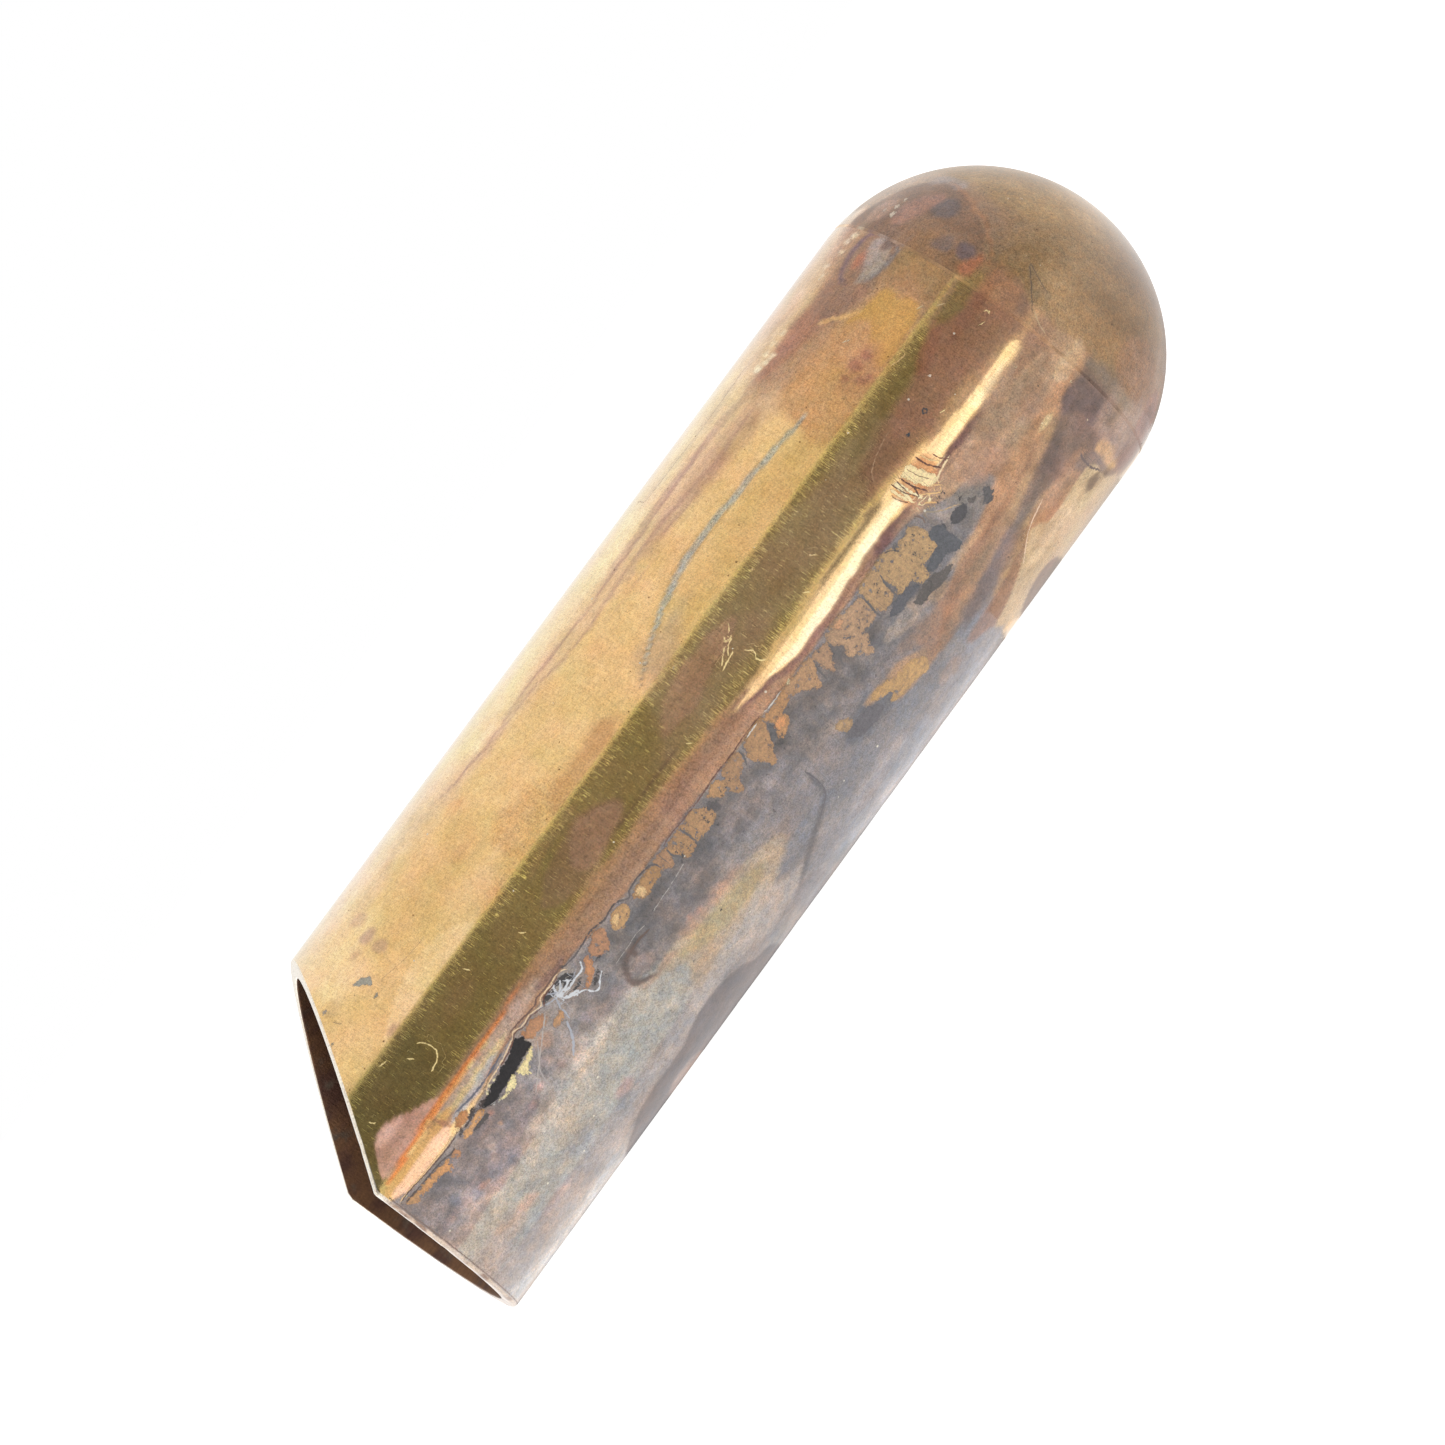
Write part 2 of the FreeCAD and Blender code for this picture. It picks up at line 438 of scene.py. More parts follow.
S.blob([(44, -31), (48, -32), (53, -29), (54, -21), (46, -20)], (210, 168, 107), 0.7, 0.7, 0.5)
S.blob([(32.5, -31.5), (34.2, -33), (36, -29.5), (35.6, -26), (34.6, -23), (33.4, -20.5), (32.3, -23.5)], (186, 156, 122), 0.6, 0.5, 0.25, 0.06, rough=0.3)
S.blob([(35.6, -31.5), (37, -32.2), (37.6, -29.6), (36.4, -28.4), (35.4, -29.5)], (194, 170, 134), 0.45, 0.35, 0.15, 0.05)

# smears of brown drawn along the upper side
for pts, w, c, op in (
    ([(17.5, -67), (20, -63), (23, -60), (26, -59)], [0.4, 0.7, 0.5, 0.3], (220, 186, 148), 0.5),
    ([(24, -60), (30, -59), (36, -58), (42, -58.5), (48, -57), (54, -57)], [0.3, 0.8, 1.0, 1.2, 1.6, 2.0], (218, 184, 150), 0.42),
    ([(36.4, -53.5), (40, -54), (44, -53), (48, -51), (52, -49)], [0.4, 0.8, 1.1, 1.1, 1.4], (200, 160, 130), 0.6),
    ([(45, -53.8), (45.6, -52)], [0.25, 0.2], (165, 122, 85), 0.7),
    ([(47.6, -50), (48.6, -50.8)], [0.3, 0.2], (168, 124, 100), 0.6),
    ([(50, -47.5), (52, -46.5), (54, -45)], [0.4, 0.8, 0.7], (178, 136, 108), 0.6),
    ([(41.2, -72.5), (45, -71), (48, -70.3), (51.5, -71)], [0.3, 0.2, 0.3, 0.2], (206, 180, 150), 0.55),
    ([(12, -62), (15, -64), (19, -70)], [0.4, 0.5, 0.3], (220, 186, 146), 0.4),
):
    S.stroke(pts, w, c, op, soft=0.45, warp=0.3, rough=0.15)
for pts, w, c, op in (
    ([(19.6, -65.4), (20.6, -62.8), (22, -61), (25, -59.9), (28.5, -61), (32, -60.2), (35, -59.9), (38, -60.9), (41, -61.4), (44.6, -62.6), (48, -65)], [0.06, 0.12, 0.1, 0.08, 0.13, 0.1, 0.15, 0.18, 0.16, 0.14, 0.08], (176, 138, 118), 0.75),
    ([(22.4, -58.6), (25.4, -57.6), (28, -58.4), (30, -55.6), (32, -53.6), (35, -54.6), (38, -56), (41.4, -54.7), (45, -52.3), (49.6, -53.4)], [0.05, 0.1, 0.07, 0.1, 0.12, 0.1, 0.2, 0.24, 0.22, 0.14], (178, 140, 118), 0.7),
    ([(36, -62.4), (41, -63.4), (46, -62), (50, -59.4), (54, -58)], [0.1, 0.25, 0.35, 0.4, 0.4], (186, 148, 124), 0.55),
    ([(39, -52), (43, -50.6), (46, -50.2)], [0.08, 0.22, 0.08], (178, 138, 114), 0.6),
    ([(33, -49.6), (36, -48.8), (40, -48.6)], [0.05, 0.14, 0.05], (206, 164, 122), 0.5),
):
    S.stroke(pts, w, c, op, soft=0.12, warp=0.12, rough=0.15)

# brown end beside the dome
S.blob([(49.5, -57), (52, -62), (57, -67), (63, -69), (63, -20), (57.5, -21), (53.5, -33), (52.5, -42), (51, -50)], (176, 134, 100), 0.88, 0.9, 0.7, 0.1, rough=0.3, mottle=0.55, coat=0.6)
S.blob([(50.5, -59), (53, -64), (56.8, -61), (57, -54), (53.5, -50.5)], (164, 110, 86), 0.75, 0.5, 0.4, 0.08)
S.blob([(51, -62), (54, -67), (58, -66), (58.5, -74), (52, -74)], (190, 158, 126), 0.35, 0.6, 0.5, break_up=0.3)
S.blob([(55.5, -60), (60, -63), (62, -58), (62, -44), (57.5, -42), (55, -48)], (138, 105, 86), 0.75, 0.6, 0.4, 0.1, rough=0.35)
S.blob([(49.5, -45), (53, -46.5), (56, -43.5), (58, -40), (58.7, -34), (58.2, -26), (56.5, -21), (51, -21), (48.5, -25), (49, -35)], (193, 146, 96), 0.85, 0.45, 0.3, 0.06, rough=0.17, mottle=0.45)
S.blob([(55.4, -43.2), (56.6, -41), (58.2, -39.6), (58.5, -36), (58, -33), (58.6, -29.5), (58.1, -25), (56, -23.4), (54.2, -24.5), (55, -30.5), (56.3, -36)], (200, 152, 80), 0.75, 0.12, 0.15, 0.05, rough=0.17, mottle=0.25)
S.blob([(58.6, -40.5), (61, -43), (62, -36), (62, -21), (59.2, -23.5), (58.8, -30)], (160, 122, 82), 0.7, 0.4, 0.3, 0.1)
S.stroke([(54.6, -53), (55.2, -48.6), (56, -43.8), (56.6, -40.6)], [0.10, 0.17, 0.14, 0.1], (226, 178, 118), 0.8, soft=0.08, warp=0.1)
S.stroke([(58, -46.8), (59.2, -44.3), (60.4, -43.4), (61, -45.5)], [0.12, 0.2, 0.2, 0.12], (126, 118, 118), 0.8, soft=0.12)
S.blob([(57.8, -49.4), (58.8, -50.4), (59.6, -53.5), (60.6, -54.5), (61.2, -50), (60.6, -46.6), (59.6, -44.8), (58.6, -46)], (170, 156, 142), 0.75, 0.18, 0.12, 0.05, rough=0.4)
S.stroke([(57.4, -52.4), (57.9, -57.5), (59.3, -59.5), (60.7, -58.4), (61, -54)], [0.1, 0.2, 0.25, 0.2, 0.1], (112, 86, 96), 0.8, soft=0.16, warp=0.12)
S.blob([(58.4, -55.5), (59.4, -56.5), (59.7, -54), (59, -52.6)], (176, 112, 82), 0.7, 0.15, 0.08)
S.blob([(61.9, -49), (60.4, -50.4), (60.3, -47.6), (61, -46.6)], (110, 86, 76), 0.7, 0.15, 0.08)
S.blob([(51.8, -33), (54.6, -32.6), (55.2, -28.6), (54.2, -24), (52.2, -25)], (172, 122, 92), 0.5, 0.45, 0.3)
for a, b, w in ((52.6, -31.2, 0.32), (53.5, -30.6, 0.36), (54.4, -29.8, 0.28), (53, -26.4, 0.28), (53.4, -24.8, 0.2), (52.9, -28.2, 0.15)):
    S.blob([(a - w, b), (a, b - w * 7), (a + w * 1.1, b - 1), (a + w * 0.4, b + w * 6)], (158, 104, 84), 0.65, 0.14, 0.14, 0.05)
# pale salts towards the top of that end
for a, b in ((50.9, -63.5), (51.8, -64.6), (52.6, -65.4), (53.4, -64.0), (51.4, -62.0), (57.4, -66), (58.1, -67.6), (59.2, -65.2), (59.9, -66.4), (60.4, -64.6), (61.8, -66.8), (51.9, -61.2)):
    S.blob([(a - 0.22, b), (a, b - 2.1), (a + 0.24, b - 0.6), (a + 0.08, b + 1.6)], (246, 228, 190), 0.75, 0.09, 0.12, 0.06, rough=0.4)

# chip, specks and smudges near the slant
S.patch("dark", [(8.62, -44.4), (9.25, -43.6), (9.72, -41.6), (9.72, -39.6), (9.45, -37.4), (9.1, -37.6), (9.0, -40), (8.7, -42)], (108, 92, 74), 0.0, shift=0.0)
S.patch("pale", [(8.78, -43.6), (9.2, -43), (9.56, -41.4), (9.56, -39.8), (9.33, -38.4), (9.2, -39.9), (9.02, -41.2), (8.86, -42.4)], (172, 166, 150), 0.0, shift=0.03)
S.patch("dark", [(8.8, -35.9), (9.15, -36.1), (9.3, -34.8), (9.1, -33.5), (8.82, -33.9)], (104, 90, 72), 0.02)
S.patch("pale", [(8.9, -35.3), (9.1, -35.4), (9.18, -34.8), (9.05, -34.2), (8.9, -34.5)], (170, 160, 140), 0.0)
for a, b, r_, c in (
    (7.8, -39.2, .13, (120, 92, 62)), (10.2, -33.2, .09, (120, 90, 60)), (11.4, -32.4, .07, (130, 98, 64)), (12.7, -32, .12, (118, 86, 58)),
    (13.2, -31.4, .10, (120, 88, 60)), (13.8, -31, .15, (112, 80, 54)), (14.3, -29.8, .08, (120, 86, 58)), (15, -28.5, .11, (124, 92, 62)),
    (15.9, -27.2, .07, (124, 92, 62)), (16.5, -26.5, .10, (120, 88, 62)), (6.6, -46.5, .16, (176, 160, 140)), (5.3, -37, .16, (172, 160, 140)),
    (34.2, -24.5, .12, (150, 136, 118)), (33.6, -20, .10, (170, 160, 140)), (18.6, -22.5, .10, (110, 84, 58)), (20.4, -40.5, .08, (130, 100, 70)),
    (26.5, -38, .06, (140, 110, 78)), (12.1, -44.4, .07, (130, 98, 66)), (17.4, -52, .07, (150, 116, 80)), (30.4, -43.5, .06, (150, 118, 84)),
    (52.2, -5.2, .12, (72, 70, 58)), (53.6, -5.6, .17, (74, 82, 78)), (48.2, -13.4, .07, (232, 214, 178)), (44.7, -18.6, .06, (236, 216, 180)),
    (50.2, -20.1, .09, (226, 206, 172)), (55.4, -10.8, .09, (236, 216, 196)), (57.2, -10.6, .05, (226, 200, 180)), (61.3, -8.6, .08, (230, 206, 180)),
    (56.8, -4.1, .14, (178, 142, 124)), (43.2, -7.1, .07, (232, 220, 176)), (36.7, -19, .05, (214, 196, 150)), (40.6, -18.8, .05, (214, 190, 140)),
):
    S.patch("dark" if sum(c) < 420 else "pale", [(a - r_, b), (a - r_ * .3, b - r_ * 5), (a + r_, b - r_ * 1.5), (a + r_ * .5, b + r_ * 4.6)], c, 0.03)
for pts, c, op in (
    ([(11.2, -53), (11.9, -52.5), (12.1, -50), (11.5, -48.8), (11.1, -50.5)], (176, 140, 128), 0.6),
    ([(11.1, -46), (11.7, -46), (11.9, -43.5), (11.4, -41.5), (11.1, -43)], (180, 142, 122), 0.6),
    ([(7.5, -24.6), (8.2, -24.8), (8.4, -23), (7.7, -22.4)], (170, 130, 104), 0.6),
    ([(11.6, -61), (12.4, -62), (12.6, -57.5), (11.9, -56.4)], (206, 166, 136), 0.6),
    ([(17.4, -42.4), (18.4, -43.4), (19, -40.4), (18, -38.8)], (214, 168, 112), 0.6),
    ([(19.6, -56), (20.4, -57.2), (21, -53.4), (20, -52.4)], (222, 172, 116), 0.5),
    ([(9.9, -50.4), (10.3, -51.4), (10.5, -49.2)], (190, 152, 120), 0.6),
    ([(6.4, -45.2), (7.1, -47.5), (7.6, -44), (6.9, -41.6)], (206, 170, 124), 0.6),
):
    S.blob(pts, c, op, 0.16, 0.12, 0.06)

# the verdigris scratch: a shallow groove with a grey-green filling
VG = [(31, -24.6), (31.9, -26), (33, -29), (34, -31.2), (35, -33), (36.4, -35.4), (38, -37.3), (39.4, -38.3), (41, -38.6), (43, -38), (45, -37.3), (48, -35.7), (49.4, -35), (50.3, -34.5)]
S.stroke(VG, [0.1, 0.16, 0.24, 0.3, 0.34, 0.34, 0.3, 0.28, 0.26, 0.22, 0.1], (188, 152, 100), 0.75, soft=0.09, warp=0.05)
S.stroke(VG, [0.05, 0.08, 0.12, 0.17, 0.21, 0.22, 0.20, 0.19, 0.18, 0.15, 0.06], (198, 188, 162), 0.92, soft=0.05, warp=0.05, metal=0.0, rough=0.7, grain=1.2, mottle=0.75, brush=0.1)
S.stroke(VG[3:11], [0.02, 0.06, 0.07, 0.06, 0.02], (212, 208, 192), 0.7, soft=0.05, warp=0.06, h=-0.02)
S.stroke(VG, 0.16, None, 1.0, soft=0.1, h=-0.03)

# ---- dark, mirror-like strip ---------------------------------------------
dark_reflection_band = smooth(S.th, -23.5, -22) * smooth(-S.th, -1, 2)
# inside the band that mirrors the dark room the colour is painted more olive, and darker towards the open end: painted
# reflection tint
S.set(slice(None), dark_reflection_band * 0.8, (222, 187, 112))
S.set(slice(None), dark_reflection_band * smooth(-S.u, -13, -3), (200, 170, 104))
# more hairline scratches in that band, which the material paints lighter as glints
S.hair[:] = 0.12 + 0.45 * dark_reflection_band * (1 + smooth(np.abs(S.th + 11.5), 5.5, 8.5))
S.blob([(31.4, -21), (35, -21.5), (46, -19), (52, -16), (50, -3), (38, -3), (29, -4), (30, -12)], (238, 198, 148), 0.7, 0.7, 0.4, 0.1, rough=0.13, metal=0.93)
S.blob([(-1, -24), (3, -24), (7.5, -21), (8.4, -10), (7, 0), (-1, 2)], (176, 150, 92), 0.8, 0.8, 0.4)
for pts, c, op, soft, rgh in (
    ([(18.2, -9), (19.2, -13), (21, -16.5), (23.4, -17.5), (25, -14), (25.8, -9), (24, -5), (20, -4)], (196, 146, 118), 0.55, 0.22, 0.28),
    ([(19.2, -17), (20.4, -21), (23.5, -21.5), (23.9, -18.4), (21.6, -17)], (204, 158, 112), 0.5, 0.3, 0.22),
    ([(29.8, -9.5), (30.2, -12.6), (31, -15.6), (32.7, -18.4), (34.6, -19), (36.2, -17.4), (37.8, -15), (37, -11.5), (33.6, -9.2), (31, -8.4)], (218, 164, 132), 0.66, 0.20, 0.38),
    ([(21.4, -8.6), (21.8, -13), (22.8, -16.4), (23.8, -16.8), (24.9, -13.6), (25.5, -9), (24, -5.4), (22.2, -5)], (214, 162, 134), 0.6, 0.22, 0.36),
    ([(33.8, -8), (38, -12), (44, -13.4), (50, -12), (50, -8.5), (42, -6.5), (36, -5.5)], (206, 164, 122), 0.35, 0.5, 0.2),
    ([(48.4, -10), (52, -13.6), (54.6, -13.4), (56.5, -16.6), (58, -19.8), (61.6, -20), (62, -1), (56, -1.4), (50, -0.6), (47.4, -3.4), (48.4, -7)], (176, 126, 100), 0.8, 0.35, 0.34),
    ([(55.2, -15), (56.4, -18), (58.4, -19), (58.2, -16), (56.6, -12.6), (55.4, -12)], (186, 118, 88), 0.75, 0.14, 0.3),
    ([(57.5, -12.6), (60, -14.4), (61.4, -11.6), (60, -9.8), (58, -10)], (172, 104, 78), 0.6, 0.25, 0.3),
    ([(9.8, -13), (11.6, -16), (12.6, -13), (11.4, -9), (10, -10)], (206, 158, 112), 0.35, 0.3, 0.2),
    ([(14.4, -14.6), (16.4, -17), (17.2, -12), (16, -9), (14.4, -10.6)], (206, 162, 112), 0.3, 0.3, 0.2),
):
    S.blob(pts, c, op, soft, 0.25, 0.08, rough=rgh, metal=0.86)
S.blob([(52.4, -12), (55, -13), (56.6, -17), (58, -19.8), (60.4, -18), (63, -16), (63, 9), (58, 8.6), (54, 8), (52, 3), (53, -3), (51, -8)], (160, 114, 88), 0.62, 0.4, 0.25, 0.1, metal=0.35, rough=0.5, hair=0.2, mottle=0.5, coat=0.6)
S.stroke([(58, -18.4), (59.6, -17), (61.4, -18)], [0.3, 0.55, 0.5], (150, 132, 66), 0.6, soft=0.25, warp=0.15, rough=0.16)
S.stroke([(23.8, -5), (26, -5.8), (28, -5.5), (30.2, -5.2)], [0.05, 0.10, 0.11, 0.05], (150, 108, 92), 0.5, soft=0.07, warp=0.06)
S.stroke([(48.4, -13.2), (50.4, -15.4), (53.2, -16.8), (56, -17)], [0.1, 0.3, 0.35, 0.2], (150, 126, 60), 0.4, soft=0.3, warp=0.2)

# ---- narrow strip just above the crust -----------------------------------
S.blob([(5, -1), (14, -2.5), (24, -2), (33, -0.8), (36.5, 2.6), (38.6, 6.3), (41, 7.4), (48, 7.2), (53, 7), (60.4, 8.2), (62, 10.5), (53, 12), (40, 10.5), (24, 9.4), (13, 8.4), (5, 6)], (160, 119, 98), 0.87, 0.22, 0.12, 0.06, rough=0.42, metal=0.6, hair=0.35, brush=0.5, mottle=0.55)
S.blob([(14.4, -2.4), (20, -3.2), (32, -2.2), (32.6, 0.6), (20, 0.6), (15, 0)], (196, 146, 102), 0.5, 0.2, 0.12, rough=0.34)
S.blob([(5.4, 1.6), (8, 0.4), (13.6, 0.6), (14.8, 2.6), (12.4, 4.6), (7.4, 4.2)], (192, 164, 146), 0.8, 0.2, 0.12, 0.05, rough=0.38)
S.stroke([(5.2, 3.6), (7.4, 4.6), (9.4, 4.2), (11.6, 3.4)], [0.1, 0.22, 0.25, 0.1], (216, 190, 140), 0.75, soft=0.1, warp=0.12)
S.stroke([(5.6, 6.4), (7.4, 6.6), (9, 5.4), (10.4, 4.6)], [0.12, 0.25, 0.2, 0.1], (168, 168, 172), 0.7, soft=0.12, warp=0.12)
S.stroke([(14.2, 3.2), (15.6, 4.2), (16.8, 4)], [0.1, 0.25, 0.1], (126, 96, 92), 0.7, soft=0.12)
# copper tongue and its bright orange edge by the rim
S.blob([(1.0, -0.8), (1.7, -5.4), (2.3, -8), (3.1, -9.3), (4.0, -8.2), (4.6, -6), (5.2, -4.4), (5.9, -2.6), (6.3, -1), (4, 0.6), (1.4, 1.0)], (220, 168, 148), 0.95, 0.06, 0.06, 0.02, rough=0.40, metal=0.7, hair=0.1, brush=0.2, mottle=0.3)
S.blob([(2.2, -7.6), (3.1, -8.8), (4.0, -7.8), (4.5, -6), (3.6, -4.8), (2.4, -5.6)], (250, 200, 180), 0.85, 0.22, 0.08, rough=0.5, metal=0.4)
# a stretch of the mirrored dark band painted darker still: painted reflection
S.set(slice(None), dark_reflection_band * smooth(S.u, 6.5, 9) * smooth(-S.u, -18, -14), tone=(0.86, 0.86, 0.84))
S.stroke([(0.8, 2.0), (3, 1.4), (5, 0.7), (7.4, 0.3), (10, 0), (12, -0.6), (14.4, -1.1)], [0.19, 0.21, 0.2, 0.16, 0.12, 0.09, 0.04], (248, 150, 84), 0.95, soft=0.06, warp=0.03, rough=0.24, metal=1.0)
S.stroke([(0.8, 2.7), (3, 2.2), (5, 1.5), (8, 1.2), (11, 0.8)], [0.06, 0.07, 0.07, 0.05, 0.03], (232, 196, 132), 0.95, soft=0.05, rough=0.15)
S.blob([(0.5, 3.1), (3, 2.4), (5.2, 2.1), (6.4, 3.4), (5.4, 5), (2, 5.4), (0.5, 5)], (216, 168, 106), 0.9, 0.08, 0.06, rough=0.22)
S.blob([(0.6, 5.2), (3, 5), (5.1, 5.3), (5.3, 7.6), (4.8, 8.7), (2.6, 8.6), (0.8, 8.2)], (246, 196, 158), 0.92, 0.09, 0.08, 0.03, rough=0.3, metal=0.7)
S.stroke([(5.2, 1.4), (5.4, 4.4), (5.6, 7.6)], [0.1, 0.16, 0.1], (172, 118, 88), 0.8, soft=0.06, warp=0.08)
# bare polished line that mirrors the table
GL = [(33.2, 1.2), (36, 2.9), (38, 3.9), (41, 3.9), (44, 3.1), (47, 2.2), (50.5, 3.2), (53, 4.0), (56, 4.6), (58.4, 4.4), (59.7, 4.5)]
S.stroke([(35, 1.6), (38, 0.9), (41, 0.5), (44, 0.1), (47, -0.5), (49.6, -0.2), (51, 1)], [0.1, 0.34, 0.42, 0.46, 0.5, 0.4, 0.2], (230, 190, 122), 0.85, soft=0.34, warp=0.16, metal=0.55, rough=0.42)
S.stroke(GL, [0.05, 0.30, 0.58, 0.66, 0.68, 0.66, 0.66, 0.46, 0.44, 0.42, 0.34], taper=False, col=(236, 198, 144), op=1.0, soft=0.06, warp=0.10, rough=0.10, metal=1.0, hair=0.2, mottle=0.2, grain=0.05, coat=0.3)
# cream streaks along the line: painted highlight
S.stroke([(36, 4.0), (39, 5.2), (43.6, 4.8), (47.4, 3.6), (51, 4.4)], [0.1, 0.30, 0.32, 0.28, 0.34], (250, 232, 194), 0.75, soft=0.12, warp=0.08)
S.stroke([(51.6, 4.4), (54, 5), (57, 5), (59.2, 4.8)], [0.16, 0.24, 0.2, 0.1], (250, 224, 170), 0.8, soft=0.07, warp=0.08)
S.stroke([(33, 1.6), (35.4, 4.4), (37.6, 7.2), (40, 7.8), (43, 7.4), (46.6, 6.9), (48.4, 7)], [0.05, 0.14, 0.2, 0.2, 0.22, 0.3, 0.2], (140, 102, 92), 0.8, soft=0.1, warp=0.1, rough=0.45)
S.stroke([(45.4, 7.4), (48, 7.8), (49, 8.4)], [0.25, 0.4, 0.2], (104, 72, 72), 0.8, soft=0.15, warp=0.15)
S.stroke([(51.4, 7.4), (53.4, 8), (56, 9), (59, 8.4), (61.2, 6.8)], [0.2, 0.26, 0.2, 0.22, 0.12], (112, 76, 72), 0.85, soft=0.1, warp=0.1, rough=0.5)
S.stroke([(51, 9.6), (54, 10.1), (57, 10.2), (60, 9.4)], [0.06, 0.07, 0.07, 0.05], (70, 50, 52), 0.8, soft=0.05, warp=0.06)
# dent with cross scratches in it
S.blob([(48.6, 3), (49, 1), (51.4, 1), (51.8, 5), (51.3, 8.4), (50.6, 10), (49.2, 10.6)], (186, 128, 84), 0.8, 0.12, 0.06, rough=0.2, metal=1.0)
# its cross scratches and the pale streak between them are painted near white: painted glints
for a, t0, t1, w, c in ((48.86, 0, 10.4, .085, (255, 232, 178)), (49.36, 0, 11.6, .10, (255, 238, 190)), (51.5, 2, 6.8, .05, (240, 206, 148))):
    S.line("la", [(a, t0), (a + 0.1, (t0 + t1) / 2), (a + 0.42, t1)], [w, w, w * .5], c, metal=1.0, rough=0.12)
S.patch("pale", [(49.85, -0.5), (50.7, 0), (50.85, 3), (51.0, 6), (51.2, 9.4), (50.7, 9.8), (50.25, 8.4), (49.95, 4)], (250, 226, 172), 0.0, shift=-0.04)
for a, t0, t1, w in ((49.12, -1, 8, .035), (49.7, 0, 9, .05), (51.2, 0.5, 8, .05)):
    S.line("lb", [(a, t0), (a + 0.08, (t0 + t1) / 2), (a + 0.4, t1)], w, (98, 60, 46), h=-0.015)
for a, t0, t1, w in ((48.6, 1.5, 7, .03), (50.35, 0, 7.4, .025), (51.95, 4, 8.6, .035)):
    S.line("lc", [(a, t0), (a + 0.08, (t0 + t1) / 2), (a + 0.36, t1)], w, (120, 74, 52), h=-0.015)
S.blob([(48.2, 0), (51.6, 0), (52.4, 6), (51, 12), (49, 12)], None, 1.0, 0.6, 0.1, h=-0.035)
# short near-white mark: painted glint
S.stroke([(51.4, 7.2), (52.3, 6.8)], [0.06, 0.08], (246, 216, 166), 0.9, soft=0.04)
S.stroke([(37.2, -6.2), (36.8, -4.8), (36.95, -3.2), (36.75, -1.4), (36.9, 0)], 0.05, (204, 180, 120), 0.5, soft=0.05)

# ---- tarnished brown end, below the mirror line ---------------------------
S.blob([(47, 8.6), (53, 10.4), (62, 8), (63, 60), (58.4, 60), (57, 52), (52, 46), (47, 54), (42, 46), (44, 36), (47, 22)], (177, 141, 110), 0.95, 0.5, 0.4, 0.1, rough=0.42, metal=0.45, hair=0.0, brush=0.25, mottle=0.5, grain=0.4, coat=0.8)
S.blob([(57, -2), (62.5, -4), (63, 12), (58, 10), (60.6, 5), (60.4, 3)], (156, 114, 84), 0.85, 0.2, 0.12, 0.05, metal=0.4, rough=0.45, coat=0.7)
